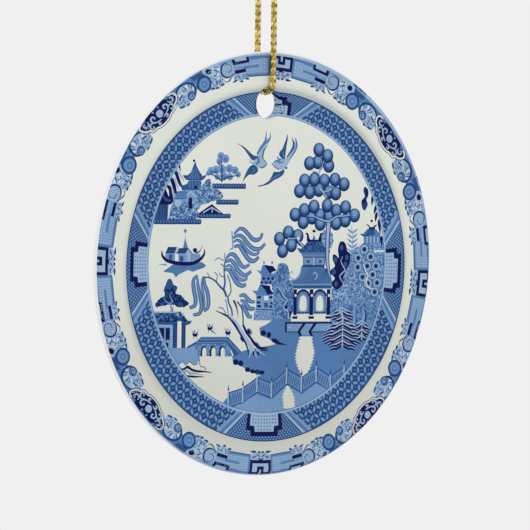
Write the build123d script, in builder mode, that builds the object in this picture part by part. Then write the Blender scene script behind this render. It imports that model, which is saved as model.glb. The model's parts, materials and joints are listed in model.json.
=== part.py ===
"""Round porcelain hanging ornament: a flat glazed disc with a printed face, held by a looped braided cord.

Frame: +Z up, millimetres. The origin is the inside of the cord's crown, where a hook carries the loop.
The printed face looks along -Y, and the disc hangs straight below the origin.
"""

import os
from math import pi, radians, tan

from build123d import *

os.makedirs("parts", exist_ok=True)

# Driving dimensions, in millimetres and degrees
DISC_DIAMETER = 73.0
DISC_THICKNESS = 2.8
RIM_ROUNDING = 1.2
HOLE_DIAMETER = 5.4
HOLE_ROUNDING = 0.8
HOLE_FROM_DISC_CENTRE = 27.5
PRINT_THICKNESS = 0.05

CORD_DIAMETER = 1.1
CORD_TO_FACE = 0.25
CORD_TO_HOLE = 0.2
LOOP_DROP = 60.0
CROWN_LEG = 6.0
BODY_GAP = 0.2
BIGHT_RADIUS = 1.7
CROWN_FLAT = 0.1

KNOT_WIDTH = 3.4
KNOT_HEIGHT = 3.0
KNOT_DEPTH = 3.6
TAIL_FOOT_ASIDE = 0.425
TAIL_FOOT_RISE = 0.75
TAIL_BEND_ASIDE = 2.5
TAIL_TIP_ASIDE = 7.5
TAIL_RISE = 5.4
TAIL_TIP_DROP = 1.6
TAIL_SPREAD = 0.8
TAIL_BEND_RADIUS = 3.3

# Derived sizes and places
cord_radius = CORD_DIAMETER / 2
leg_y = DISC_THICKNESS / 2 + CORD_TO_FACE + cord_radius
crown_z = cord_radius
crown_radius = leg_y - CROWN_FLAT / 2
crown_end_z = -CROWN_LEG
leg_top_z = crown_end_z - BODY_GAP
bight_z = -LOOP_DROP
hole_top_z = bight_z + cord_radius + CORD_TO_HOLE
hole_z = hole_top_z - HOLE_DIAMETER / 2
disc_z = hole_z - HOLE_FROM_DISC_CENTRE
knot_z = crown_z + KNOT_HEIGHT / 2 - cord_radius / 2
tail_foot_z = knot_z + TAIL_FOOT_RISE
tail_bend_z = tail_foot_z + TAIL_RISE
tail_tip_z = tail_bend_z - TAIL_TIP_DROP

# The sketch plane of the disc's back, seen from the front, with its middle at the disc's centre
face_plane = Plane(origin=(0, DISC_THICKNESS / 2, disc_z), x_dir=(1, 0, 0), z_dir=(0, -1, 0))


def tube_length(runs, radii_and_turns):
    """Length of straight runs joined by tangent arcs, each arc given as (radius, turn in degrees)."""
    corners = [2 * r * tan(radians(t) / 2) for r, t in radii_and_turns]
    arcs = [r * radians(t) for r, t in radii_and_turns]
    return sum(runs) - sum(corners) + sum(arcs)


def report_tube(label, solid, route, radii):
    """Print a tube's bend radii, and compare its volume with its section times its length."""
    points = [Vector(*p) for p in route]
    runs = [(b - a).length for a, b in zip(points, points[1:])]
    turns = [(b - a).get_angle(c - b) for a, b, c in zip(points, points[1:], points[2:])]
    length = tube_length(runs, list(zip(radii, turns)))
    section = pi * cord_radius**2
    print(
        f"{label}: radii {[round(r, 2) for r in radii]}, length {length:.2f} mm, "
        f"volume {solid.volume:.3f} against {section * length:.3f} mm3"
    )


# The porcelain disc: one flat round plate with a soft rim and a softly rounded hanging hole
with BuildPart() as porcelain_disc:
    with BuildSketch(face_plane):
        Circle(DISC_DIAMETER / 2)
        with Locations((0, HOLE_FROM_DISC_CENTRE)):
            Circle(HOLE_DIAMETER / 2, mode=Mode.SUBTRACT)
    extrude(amount=DISC_THICKNESS)
    hole_edges = porcelain_disc.edges().filter_by(GeomType.CIRCLE).group_by(SortBy.RADIUS)[0]
    fillet(hole_edges, radius=HOLE_ROUNDING)
    rim_edges = porcelain_disc.edges().filter_by(GeomType.CIRCLE).group_by(SortBy.RADIUS)[-1]
    fillet(rim_edges, radius=RIM_ROUNDING)
porcelain_disc.part.label = "porcelain_disc"
export_step(porcelain_disc.part, "parts/porcelain_disc.step")

# The fired transfer print: a thin film on the flat of the front face
with BuildPart() as front_print:
    with BuildSketch(face_plane.offset(DISC_THICKNESS)):
        Circle(DISC_DIAMETER / 2 - RIM_ROUNDING)
        with Locations((0, HOLE_FROM_DISC_CENTRE)):
            Circle(HOLE_DIAMETER / 2 + HOLE_ROUNDING, mode=Mode.SUBTRACT)
    extrude(amount=PRINT_THICKNESS)
front_print.part.label = "front_print"
export_step(front_print.part, "parts/front_print.step")

# The loop that carries the disc: down in front of the face, through the hole and up behind
loop_route = [
    (0, -leg_y, leg_top_z),
    (0, -leg_y, bight_z),
    (0, leg_y, bight_z),
    (0, leg_y, leg_top_z),
]
loop_radii = [BIGHT_RADIUS, BIGHT_RADIUS]
with BuildPart() as hanging_cord:
    with BuildLine() as loop_line:
        FilletPolyline(*loop_route, radius=loop_radii)
    with BuildSketch(Plane(origin=loop_line.line @ 0, z_dir=loop_line.line % 0)):
        Circle(cord_radius)
    sweep()
hanging_cord.part.label = "hanging_cord"
export_step(hanging_cord.part, "parts/hanging_cord.step")
report_tube("hanging_cord", hanging_cord.part, loop_route, loop_radii)

# The crown: the same cord where it goes over the hook, under the knot
crown_route = [
    (0, -leg_y, crown_end_z),
    (0, -leg_y, crown_z),
    (0, leg_y, crown_z),
    (0, leg_y, crown_end_z),
]
crown_radii = [crown_radius, crown_radius]
with BuildPart() as cord_crown:
    with BuildLine() as crown_line:
        FilletPolyline(*crown_route, radius=crown_radii)
    with BuildSketch(Plane(origin=crown_line.line @ 0, z_dir=crown_line.line % 0)):
        Circle(cord_radius)
    sweep()
cord_crown.part.label = "cord_crown"
export_step(cord_crown.part, "parts/cord_crown.step")
report_tube("cord_crown", cord_crown.part, crown_route, crown_radii)

# The knot that closes the loop, a pulled-tight round lump on top of the crown
with BuildPart() as cord_knot:
    with BuildSketch(Plane.XZ):
        with BuildLine():
            knot_side = ThreePointArc(
                (0, knot_z - KNOT_HEIGHT / 2),
                (KNOT_WIDTH / 2, knot_z),
                (0, knot_z + KNOT_HEIGHT / 2),
            )
            Line(knot_side @ 1, knot_side @ 0)
        make_face()
    revolve(axis=Axis.Z)
    scale(by=(1, KNOT_DEPTH / KNOT_WIDTH, 1))
cord_knot.part.label = "cord_knot"
export_step(cord_knot.part, "parts/cord_knot.step")

# The two cut ends, standing out of the knot's top to either side
for side, name in ((-1, "cord_tail_left"), (1, "cord_tail_right")):
    tail_route = [
        (side * TAIL_FOOT_ASIDE, side * TAIL_SPREAD / 2, tail_foot_z),
        (side * TAIL_BEND_ASIDE, side * TAIL_SPREAD, tail_bend_z),
        (side * TAIL_TIP_ASIDE, side * TAIL_SPREAD, tail_tip_z),
    ]
    with BuildPart() as cord_tail:
        with BuildLine() as tail_line:
            FilletPolyline(*tail_route, radius=[TAIL_BEND_RADIUS])
        with BuildSketch(Plane(origin=tail_line.line @ 0, z_dir=tail_line.line % 0)):
            Circle(cord_radius)
        sweep()
    cord_tail.part.label = name
    export_step(cord_tail.part, f"parts/{name}.step")
    report_tube(name, cord_tail.part, tail_route, [TAIL_BEND_RADIUS])
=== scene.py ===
"""Looks for the round porcelain hanging ornament: glazed disc, blue transfer print and braided gold cord.

Lengths are in metres in the CAD frame, apart from the print, which is drawn in millimetres in its own flat
frame: x to the right and z up from the middle of the printed plate.
"""

import json
from math import cos, pi, radians, sin

import bpy
import numpy as np
from mathutils import Matrix, Vector
from mathutils.geometry import tessellate_polygon


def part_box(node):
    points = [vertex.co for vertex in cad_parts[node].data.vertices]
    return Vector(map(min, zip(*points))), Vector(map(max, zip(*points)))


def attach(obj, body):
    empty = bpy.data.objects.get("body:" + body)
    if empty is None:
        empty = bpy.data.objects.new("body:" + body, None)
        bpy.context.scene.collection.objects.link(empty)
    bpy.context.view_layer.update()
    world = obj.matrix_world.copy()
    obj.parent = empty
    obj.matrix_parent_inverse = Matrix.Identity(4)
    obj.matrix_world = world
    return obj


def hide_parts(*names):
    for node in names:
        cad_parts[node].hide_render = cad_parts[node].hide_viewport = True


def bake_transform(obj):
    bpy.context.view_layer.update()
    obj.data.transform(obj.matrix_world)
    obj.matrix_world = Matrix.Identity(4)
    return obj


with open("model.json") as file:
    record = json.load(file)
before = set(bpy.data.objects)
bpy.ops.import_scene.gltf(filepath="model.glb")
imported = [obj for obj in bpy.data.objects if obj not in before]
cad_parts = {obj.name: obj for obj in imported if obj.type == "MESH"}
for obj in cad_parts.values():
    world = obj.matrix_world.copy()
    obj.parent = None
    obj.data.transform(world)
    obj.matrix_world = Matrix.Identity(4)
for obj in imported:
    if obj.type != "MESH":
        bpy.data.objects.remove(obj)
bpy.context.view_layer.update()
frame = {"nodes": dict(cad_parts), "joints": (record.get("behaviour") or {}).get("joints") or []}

MM = 0.001

# ---------------------------------------------------------------- places read from the CAD model
disc_low, disc_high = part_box("porcelain_disc")
disc_middle = (disc_low + disc_high) / 2
disc_radius = (disc_high.x - disc_low.x) / 2
print_low, print_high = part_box("front_print")
flat_radius = (print_high.x - print_low.x) / 2
rim_rounding = disc_radius - flat_radius
joints = {joint["name"]: joint for joint in frame["joints"]}
cord_low, cord_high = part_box("hanging_cord")
CORD_DIAMETER = cord_high.x - cord_low.x
leg_y = cord_high.y - CORD_DIAMETER / 2
bight_z = joints["disc_swing"]["pos_m"][2]
knot_low, knot_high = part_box("cord_knot")


def new_object(name, data):
    """An object of its own for a mesh, curve, light or camera, linked into the scene."""
    thing = bpy.data.objects.new(name, data)
    bpy.context.collection.objects.link(thing)
    return thing


# ---------------------------------------------------------------- materials
GLAZE_ROUGHNESS = 0.16
GLAZE_RIPPLE_DEPTH = 0.02 * MM
GOLD_ROUGHNESS = (0.2, 0.4)


def new_material(name, **sockets):
    """A node material and its principled shader, with the given sockets set."""
    material = bpy.data.materials.new(name)
    material.use_nodes = True
    shader = material.node_tree.nodes["Principled BSDF"]
    for socket, value in sockets.items():
        shader.inputs[socket.replace("_", " ")].default_value = value
    return material, shader


def add_node(material, kind, **settings):
    node = material.node_tree.nodes.new(kind)
    for key, value in settings.items():
        setattr(node, key, value)
    return node


def link(material, source, target):
    material.node_tree.links.new(source, target)


def noise_node(material, scale, detail=3.0):
    """Noise over the row frame's own coordinates."""
    place = add_node(material, "ShaderNodeTexCoord")
    noise = add_node(material, "ShaderNodeTexNoise")
    noise.inputs["Scale"].default_value = scale
    noise.inputs["Detail"].default_value = detail
    link(material, place.outputs["Object"], noise.inputs["Vector"])
    return noise


def ramp_node(material, source, stops):
    ramp = add_node(material, "ShaderNodeValToRGB")
    while len(ramp.color_ramp.elements) < len(stops):
        ramp.color_ramp.elements.new(0.5)
    for element, (position, colour) in zip(ramp.color_ramp.elements, stops):
        element.position = position
        element.color = (*colour, 1)
    link(material, source, ramp.inputs["Fac"])
    return ramp


def bump_from(material, shader, source, strength, distance):
    bump = add_node(material, "ShaderNodeBump")
    bump.inputs["Strength"].default_value = strength
    bump.inputs["Distance"].default_value = distance
    link(material, source, bump.inputs["Height"])
    link(material, bump.outputs["Normal"], shader.inputs["Normal"])


def glaze_material(name, low, high):
    """Glossy glaze whose colour drifts between two tones."""
    material, shader = new_material(name, Roughness=GLAZE_ROUGHNESS)
    noise = noise_node(material, 180)
    ramp = ramp_node(material, noise.outputs["Fac"], [(0.3, low), (0.7, high)])
    link(material, ramp.outputs["Color"], shader.inputs["Base Color"])
    ripple = noise_node(material, 900, 1.0)
    bump_from(material, shader, ripple.outputs["Fac"], 0.12, GLAZE_RIPPLE_DEPTH)
    return material


def gold_material(name, low, high):
    """Metallic yarn that flashes brighter and duller along its length: the flashes are painted glints in
    the base colour, and the roughness follows the same noise.
    """
    material, shader = new_material(name, Metallic=1.0)
    noise = noise_node(material, 1500)
    ramp = ramp_node(material, noise.outputs["Fac"], [(0.36, low), (0.62, high)])
    link(material, ramp.outputs["Color"], shader.inputs["Base Color"])
    rough = add_node(material, "ShaderNodeMapRange")
    rough.inputs["To Min"].default_value, rough.inputs["To Max"].default_value = GOLD_ROUGHNESS
    link(material, noise.outputs["Fac"], rough.inputs["Value"])
    link(material, rough.outputs["Result"], shader.inputs["Roughness"])
    return material


# ---------------------------------------------------------------- camera, floor and lights
VIEW_YAW = radians(38.7)
VIEW_PITCH = radians(3.0)
VIEW_ROLL = radians(-0.83)
VIEW_DISTANCE = 2.5
VIEW_WIDTH = 0.09118
AIM_RIGHT = 0.00043
AIM_UP = -0.00031
SENSOR_WIDTH = 36.0
FAR_CLIP = 20
STUDIO_GREY = (0.871, 0.871, 0.871, 1)


def add_camera():
    """A long lens aimed near the disc's middle, so that the view is almost without perspective."""
    toward = Vector((sin(VIEW_YAW) * cos(VIEW_PITCH), cos(VIEW_YAW) * cos(VIEW_PITCH), -sin(VIEW_PITCH)))
    level_right = Vector((cos(VIEW_YAW), -sin(VIEW_YAW), 0))
    level_up = level_right.cross(toward)
    right = level_right * cos(VIEW_ROLL) - level_up * sin(VIEW_ROLL)
    up = level_up * cos(VIEW_ROLL) + level_right * sin(VIEW_ROLL)
    aim = disc_middle + right * AIM_RIGHT + up * AIM_UP
    data = bpy.data.cameras.new("camera")
    data.sensor_width = SENSOR_WIDTH
    data.lens = SENSOR_WIDTH * VIEW_DISTANCE / VIEW_WIDTH
    data.clip_end = FAR_CLIP
    camera = new_object("camera", data)
    camera.matrix_world = Matrix((right, up, -toward)).transposed().to_4x4()
    camera.location = aim - toward * VIEW_DISTANCE
    bpy.context.scene.camera = camera


FLOOR_BELOW = 0.075
FLOOR_RADIUS = 0.6


def add_floor():
    bpy.ops.mesh.primitive_circle_add(
        vertices=96, radius=FLOOR_RADIUS, fill_type="NGON", location=(0, 0, disc_low.z - FLOOR_BELOW)
    )
    floor = bpy.context.object
    floor.name = "floor"
    material, shader = new_material("floor", Roughness=0.9)
    noise = noise_node(material, 3.0)
    ramp = ramp_node(material, noise.outputs["Fac"], [(0, (0.8, 0.8, 0.8)), (1, (0.84, 0.84, 0.84))])
    link(material, ramp.outputs["Color"], shader.inputs["Base Color"])
    floor.data.materials.append(material)


def add_area_light(name, azimuth, elevation, distance, size, power):
    """A soft square light that looks at the disc from an azimuth and elevation in degrees."""
    data = bpy.data.lights.new(name, "AREA")
    data.size = size
    data.energy = power
    light = new_object(name, data)
    a, e = radians(azimuth), radians(elevation)
    away = Vector((-sin(a) * cos(e), -cos(a) * cos(e), sin(e)))
    light.location = disc_middle + away * distance
    light.rotation_euler = away.to_track_quat("Z", "Y").to_euler()


def add_lights():
    world = bpy.data.worlds.new("studio")
    world.use_nodes = True
    background = world.node_tree.nodes["Background"]
    background.inputs["Color"].default_value = STUDIO_GREY
    background.inputs["Strength"].default_value = 1.0
    bpy.context.scene.world = world
    bpy.context.scene.view_settings.view_transform = "Standard"
    add_area_light("key", azimuth=20, elevation=35, distance=1.2, size=0.7, power=0.6)
    add_area_light("side", azimuth=95, elevation=20, distance=0.9, size=0.35, power=0.3)


# ---------------------------------------------------------------- drawing the print
PRINT_BASE = 0.025 * MM
LAYER_STEP = 0.0025 * MM
PRINT_SHIFT = (-0.316, -0.515)
PRINT_ACROSS = (1.0125, -0.0217)
PRINT_UPWARD = (0.0014, 0.9954)
PRINT_RADIUS = 37.0
RIM_SECTORS = 240
RIM_WRAP = radians(80)
RIM_ZONES = 6
HOLE_SECTORS = 48
CURVE_STEPS = 6
BAND_PIECES = 180
SPIRAL_POINTS = 14

# The hanging hole in the disc's face, in millimetres as in the CAD model
HOLE_ROUNDING = 0.8
HOLE_RADIUS = 2.7
HOLE_UP = 27.5
HOLE_BENDS = (0.8, 0.6, 0.4, 0.2, 0)
hole_wall = (disc_high.y - disc_low.y) / MM - 2 * HOLE_ROUNDING


def smooth(points, closed=False):
    """A rounded line through the points."""
    p = [np.array(q, float) for q in points]
    count = len(p)
    if count < 3:
        return p
    out = []
    spans = count if closed else count - 1
    for i in range(spans):
        a = p[(i - 1) % count] if closed or i > 0 else 2 * p[0] - p[1]
        b, c = p[i], p[(i + 1) % count]
        d = p[(i + 2) % count] if closed or i + 2 < count else 2 * p[-1] - p[-2]
        for k in range(CURVE_STEPS):
            t = k / CURVE_STEPS
            square, cube = 2 * a - 5 * b + 4 * c - d, 3 * b - a - 3 * c + d
            out.append(0.5 * (2 * b + (c - a) * t + square * t**2 + cube * t**3))
    if not closed:
        out.append(p[-1])
    return out


def ellipse(centre, rx, rz=None, turn=0.0, points=16, start=0.0, stop=2 * pi):
    """Points on an ellipse, or on its arc from start to stop."""
    rz = rx if rz is None else rz
    whole = abs(stop - start - 2 * pi) < 1e-9
    angles = np.linspace(start, stop, points, endpoint=not whole)
    c, s = cos(turn), sin(turn)
    return [
        (centre[0] + rx * cos(a) * c - rz * sin(a) * s, centre[1] + rx * cos(a) * s + rz * sin(a) * c)
        for a in angles
    ]


def quads(a, b, c, d):
    """Two triangles for each row of four corners."""
    return np.concatenate([np.stack([a, b, c], 1), np.stack([a, c, d], 1)])


def on_circle(radius, turn):
    """Points at a radius and a turn clockwise from the top."""
    return np.stack([radius * np.sin(turn), radius * np.cos(turn)], 1)


class Drawing:
    """Flat shapes in millimetres, one triangle list per ink. A higher layer lies on top of a lower one."""

    def __init__(self):
        self.triangles = {}
        self.layer = 0
        self.place = None

    def add(self, ink, triangles, up=0):
        triangles = np.asarray(triangles, float).reshape(-1, 3, 2)
        if self.place is not None:
            flat = self.place(triangles.reshape(-1, 2))
            triangles = np.asarray(flat, float).reshape(-1, 3, 2)
        self.triangles.setdefault(ink, []).append((self.layer + up, triangles))

    def fill(self, ink, outline, rounded=False, up=0):
        """A filled outline, straight from point to point or rounded through the points."""
        loop = smooth(outline, closed=True) if rounded else outline
        vectors = [Vector((float(x), float(z), 0)) for x, z in loop]
        corners = tessellate_polygon([vectors])
        self.add(ink, [[(vectors[i].x, vectors[i].y) for i in corner] for corner in corners], up)

    def line(self, ink, line, width, rounded=True, up=0):
        """A ribbon along the line. width is a number, or several that spread evenly from start to end."""
        path = np.array(smooth(line) if rounded else line, float)
        run = np.gradient(path, axis=0)
        run /= np.maximum(np.linalg.norm(run, axis=1), 1e-9)[:, None]
        side = np.stack([-run[:, 1], run[:, 0]], 1)
        widths = np.atleast_1d(np.array(width, float))
        half = np.interp(np.linspace(0, 1, len(path)), np.linspace(0, 1, len(widths)), widths) / 2
        left, right = path + side * half[:, None], path - side * half[:, None]
        self.add(ink, quads(left[:-1], right[:-1], right[1:], left[1:]), up)

    def fills(self, *rows):
        """Straight-sided shapes, each given as (ink, level, outline)."""
        for ink, up, outline in rows:
            self.fill(ink, outline, up=up)

    def lines(self, *rows):
        """Rounded ribbons, each given as (ink, level, width, line)."""
        for ink, up, width, line in rows:
            self.line(ink, line, width, up=up)

    def dot(self, ink, centre, rx, rz=None, turn=0.0, points=12, up=0):
        """A filled circle or ellipse."""
        rim = np.array(ellipse(centre, rx, rz, turn, points))
        middle = np.repeat(np.array([centre], float), points, axis=0)
        self.add(ink, np.stack([middle, rim, np.roll(rim, -1, axis=0)], 1), up)


def clip(polygon, normal, offset):
    """The part of a convex polygon on the side where point . normal is at most offset."""
    out = []
    for i, (x1, z1) in enumerate(polygon):
        x0, z0 = polygon[i - 1]
        d0, d1 = x0 * normal[0] + z0 * normal[1] - offset, x1 * normal[0] + z1 * normal[1] - offset
        if (d0 <= 0) != (d1 <= 0):
            t = d0 / (d0 - d1)
            out.append((x0 + (x1 - x0) * t, z0 + (z1 - z0) * t))
        if d1 <= 0:
            out.append((x1, z1))
    return out


def fan(polygon):
    """A convex polygon as triangles."""
    return [(polygon[0], polygon[i], polygon[i + 1]) for i in range(1, len(polygon) - 1)]


def split_round(triangles, centre, sectors, radii):
    """Cut triangles along the spokes and rings of a many-sided circle, so they can bend over an edge."""
    step = 2 * pi / sectors
    pieces = []
    for triangle in triangles:
        local = [(x - centre[0], z - centre[1]) for x, z in triangle]
        angles = [np.arctan2(z, x) for x, z in local]
        spread = [(a - angles[0] + pi) % (2 * pi) - pi for a in angles]
        if max(spread) - min(spread) > pi * 0.98:
            first, last = 0, sectors - 1
        else:
            first = int(np.floor((angles[0] + min(spread)) / step))
            last = int(np.floor((angles[0] + max(spread)) / step))
        for k in range(first, last + 1):
            a, b = k * step, (k + 1) * step
            wedge = clip(clip(local, (sin(a), -cos(a)), 0), (-sin(b), cos(b)), 0)
            if len(wedge) < 3:
                continue
            middle = (cos((a + b) / 2), sin((a + b) / 2))
            chord = cos(step / 2)
            edges = [-1.0] + [r * chord for r in radii] + [1e3]
            for low, high in zip(edges, edges[1:]):
                cell = clip(clip(wedge, middle, high), (-middle[0], -middle[1]), -low)
                if len(cell) >= 3:
                    moved = [(x + centre[0], z + centre[1]) for x, z in cell]
                    pieces.extend(fan(moved))
    return pieces


def on_the_face(points):
    """Print millimetres to face millimetres about the disc's middle."""
    points = np.asarray(points, float)
    x, z = points[:, 0], points[:, 1]
    return np.stack(
        [
            PRINT_SHIFT[0] + PRINT_ACROSS[0] * x + PRINT_UPWARD[0] * z,
            PRINT_SHIFT[1] + PRINT_ACROSS[1] * x + PRINT_UPWARD[1] * z,
        ],
        1,
    )


def near_circle(triangles, centre, radius):
    """Which triangles may reach inside the circle."""
    corners = triangles - np.array(centre)
    nearest = np.full(len(triangles), 1e9)
    for i in range(3):
        a, b = corners[:, i], corners[:, (i + 1) % 3]
        run = b - a
        t = np.clip(-(a * run).sum(1) / np.maximum((run * run).sum(1), 1e-12), 0, 1)
        nearest = np.minimum(nearest, np.linalg.norm(a + run * t[:, None], axis=1))
    turn = [
        corners[:, i, 0] * corners[:, (i + 1) % 3, 1] - corners[:, i, 1] * corners[:, (i + 1) % 3, 0]
        for i in range(3)
    ]
    inside = (np.min(turn, axis=0) >= 0) | (np.max(turn, axis=0) <= 0)
    return inside | (nearest < radius)


def drape(triangles, height):
    """Triangles in face millimetres laid over the disc: flat, round the rim, and down into the hole."""
    flat = flat_radius / MM
    rounding = rim_rounding / MM
    half = (disc_high.y - disc_low.y) / 2 / MM
    lift = height / MM
    top = flat + rounding * RIM_WRAP
    far = np.linalg.norm(triangles, axis=2)
    inner = triangles[far.max(1) <= flat]
    band = triangles[(far.max(1) > flat) & (far.min(1) < top)]
    rings = [flat + rounding * RIM_WRAP * zone / RIM_ZONES for zone in range(RIM_ZONES + 1)]
    cut = np.array(split_round(band, (0, 0), RIM_SECTORS, rings)).reshape(-1, 3, 2)
    keep = np.linalg.norm(cut.mean(1), axis=1) < top if len(cut) else []
    triangles = np.concatenate([inner, cut[keep]]) if len(cut) else inner

    hole_flat = HOLE_RADIUS + HOLE_ROUNDING
    centre = (0, HOLE_UP)
    quarter = HOLE_ROUNDING * pi / 2
    touching = near_circle(triangles, centre, hole_flat)
    depths = [quarter + hole_wall, quarter] + [quarter * share for share in HOLE_BENDS]
    rings = [hole_flat - depth for depth in depths]
    cut = np.array(split_round(triangles[touching], centre, HOLE_SECTORS, rings)).reshape(-1, 3, 2)
    keep = np.linalg.norm(cut.mean(1) - centre, axis=1) > rings[0] if len(cut) else []
    triangles = np.concatenate([triangles[~touching], cut[keep]]) if len(cut) else triangles[~touching]

    x, z = triangles[:, :, 0].ravel(), triangles[:, :, 1].ravel()
    y = np.full(len(x), -half - lift)
    far = np.hypot(x, z)
    over = far > flat + 1e-6
    bend = (far[over] - flat) / rounding
    reach = flat + (rounding + lift) * np.sin(bend)
    y[over] = -(half - rounding + (rounding + lift) * np.cos(bend))
    x[over], z[over] = x[over] / far[over] * reach, z[over] / far[over] * reach

    away = np.hypot(x, z - HOLE_UP)
    over = away < hole_flat - 1e-6
    depth = hole_flat - away[over]
    bend = np.minimum(depth, quarter) / HOLE_ROUNDING
    reach = hole_flat - (HOLE_ROUNDING + lift) * np.sin(bend)
    edge = half - HOLE_ROUNDING + (HOLE_ROUNDING + lift) * np.cos(bend)
    y[over] = -edge + np.maximum(depth - quarter, 0)
    ratio = reach / away[over]
    x[over], z[over] = x[over] * ratio, HOLE_UP + (z[over] - HOLE_UP) * ratio
    return np.stack([x, y, z], 1).reshape(-1, 3, 3)


def ink_piece(ink, layers, material, heights):
    """One mesh of everything printed in one ink. heights gives each layer's height over the glaze."""
    parts = []
    for layer in sorted({number for number, _ in layers}):
        flat = np.concatenate([t for number, t in layers if number == layer])
        flat = on_the_face(flat.reshape(-1, 2)).reshape(-1, 3, 2)
        a, b = flat[:, 1] - flat[:, 0], flat[:, 2] - flat[:, 0]
        area = a[:, 0] * b[:, 1] - a[:, 1] * b[:, 0]
        flat[area < 0] = flat[area < 0][:, ::-1]
        flat = flat[np.abs(area) > 1e-7]
        parts.append(drape(flat, heights[layer]))
    points = np.concatenate(parts).reshape(-1, 3) * MM + np.array([0, 0, disc_middle.z])
    unique, index = np.unique(np.round(points / 1e-8).astype(np.int64), axis=0, return_inverse=True)
    faces = index.reshape(-1, 3)
    faces = faces[
        (faces[:, 0] != faces[:, 1]) & (faces[:, 1] != faces[:, 2]) & (faces[:, 0] != faces[:, 2])
    ]
    mesh = bpy.data.meshes.new("print_" + ink)
    mesh.from_pydata((unique * 1e-8).tolist(), [], faces.tolist())
    mesh.materials.append(material)
    piece = new_object("print_" + ink, mesh)
    piece.visible_shadow = False
    piece.visible_diffuse = False
    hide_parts("front_print")
    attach(piece, "disc")


# ---------------------------------------------------------------- the inner ring
RING_INNER = 25.9
RING_OUTER = 30.2
RING_MIDDLE = 28.0
RING_GROWTH = 0.12
RING_RISE = 0.45
RING_RISE_AT = 12
RING_PANELS = (1.9, 91.4, 179.9, 270.8)
RING_CELLS = 87
RING_ROWS = 7
RING_ROW_FOOT = 26.1
RING_ROW_PITCH = 0.57
PANEL_HALF_ANGLE = 14.2
PANEL_HALF_GROWTH = 1.75
PANEL_HALF = 4.5
PANEL_SLOPE = 0.82
HATCH_ROWS = 11
HATCH_COLUMNS = 16
HATCH_STEP = (0.62, 0.39)


def ring_radius(radius, turn):
    """The ring's inner edge sits slightly high of the middle, and that fades out toward its outer edge."""
    share = (RING_OUTER - radius) / (RING_OUTER - RING_INNER)
    return radius + share * (RING_GROWTH + RING_RISE * np.cos(turn - radians(RING_RISE_AT)))


def around(angle, mirrored=1):
    """Places (distance along the ring, radius) around the plate, clockwise from the top."""

    def place(points):
        points = np.asarray(points, float)
        turn = radians(angle) + mirrored * points[:, 0] / RING_MIDDLE
        return on_circle(ring_radius(points[:, 1], turn), turn)

    return place


def band(pen, ink, low, high, up=0, radius_at=None):
    """A flat ring between two radii, round or as radius_at shapes it."""
    angles = np.linspace(0, 2 * pi, BAND_PIECES + 1)
    if radius_at:
        low, high = radius_at(low, angles), radius_at(high, angles)
    inner, outer = on_circle(low, angles), on_circle(high, angles)
    pen.add(ink, quads(inner[:-1], outer[:-1], outer[1:], inner[1:]), up)


def ring_lattice(pen):
    """Three rows of dark cells with a light eye, in a net of thick light petals."""
    step = 180 / RING_CELLS
    for number in range(RING_CELLS * 2):
        for row in range(RING_ROWS):
            radius = RING_ROW_FOOT + row * RING_ROW_PITCH
            angle = number * step + (0 if row % 2 else step / 2)
            away = min(abs((angle - centre + 180) % 360 - 180) for centre in RING_PANELS)
            if away < PANEL_HALF_ANGLE + (radius - RING_MIDDLE) * PANEL_HALF_GROWTH:
                continue
            pen.place = around(angle)
            if row % 2 == 0:
                lean = -0.85 if (number + row // 2) % 2 else 0.85
                pen.dot("light", (0, radius), 0.5, 0.23, lean, up=3)
            elif (number + row // 2) % 2 == 0:
                pen.dot("deep", (0, radius), 0.46, 0.38, up=1)
                pen.dot("light", (0, radius), 0.14, points=6, up=2)


def ring_panel(pen, centre):
    """A stepped navy frame round a pale dotted window, with hatching and slanted bars on each side."""
    for side in (1, -1):
        pen.place = around(centre, side)
        reach = PANEL_SLOPE * (RING_OUTER - RING_INNER)
        low = [(0, RING_INNER), (PANEL_HALF, RING_INNER)]
        pen.fill("strong", low + [(PANEL_HALF + reach, RING_OUTER), (0, RING_OUTER)], up=4)
        for row in range(HATCH_ROWS):
            radius = RING_ROW_FOOT + row * HATCH_STEP[1]
            last = PANEL_HALF - 0.25 + (radius - RING_INNER) * PANEL_SLOPE
            for column in range(HATCH_COLUMNS):
                x = (column + 0.5 * (row % 2)) * HATCH_STEP[0]
                if 2.6 < x < last or (radius > 29.4 and x < last):
                    pen.dot("light", (x, radius), 0.21, 0.19, points=4, up=5)
        for start, stop, ink in ((4.5, 5.05, "pale"), (5.05, 5.75, "mid"), (5.75, 6.5, "light")):
            low = [(start, RING_INNER), (stop, RING_INNER)]
            pen.fill(ink, low + [(stop + reach, RING_OUTER), (start + reach, RING_OUTER)], up=5)
    pen.place = around(centre)
    for ink, up, half in (
        ("navy", 6, [(3.95, 25.95), (3.95, 28.55), (2.9, 28.6), (2.85, 29.55)]),
        ("pale", 7, [(3.2, 25.95), (3.15, 27.8), (2.15, 27.85), (2.0, 28.75)]),
    ):
        pen.fill(ink, half + [(-x, radius) for x, radius in reversed(half)], up=up)
    for row in range(5):
        for column in range(-4, 5):
            if abs(column) < (4.5 if row < 3 else 3):
                pen.dot("mid", (column * 0.64, 26.2 + row * 0.54), 0.19, 0.16, points=6, up=8)


def draw_ring(pen, layer):
    """The dark ring round the picture, with a dark outer line and two fine lines inside."""
    pen.layer = layer
    band(pen, "strong", RING_INNER, RING_OUTER, radius_at=ring_radius)
    ring_lattice(pen)
    for centre in RING_PANELS:
        ring_panel(pen, centre)
    pen.place = None
    band(pen, "deep", RING_OUTER - 0.14, RING_OUTER + 0.08, up=9)
    band(pen, "pale", RING_INNER - 0.26, RING_INNER + 0.02, up=9, radius_at=ring_radius)
    band(pen, "mid", RING_INNER - 0.4, RING_INNER - 0.26, up=9, radius_at=ring_radius)


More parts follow.
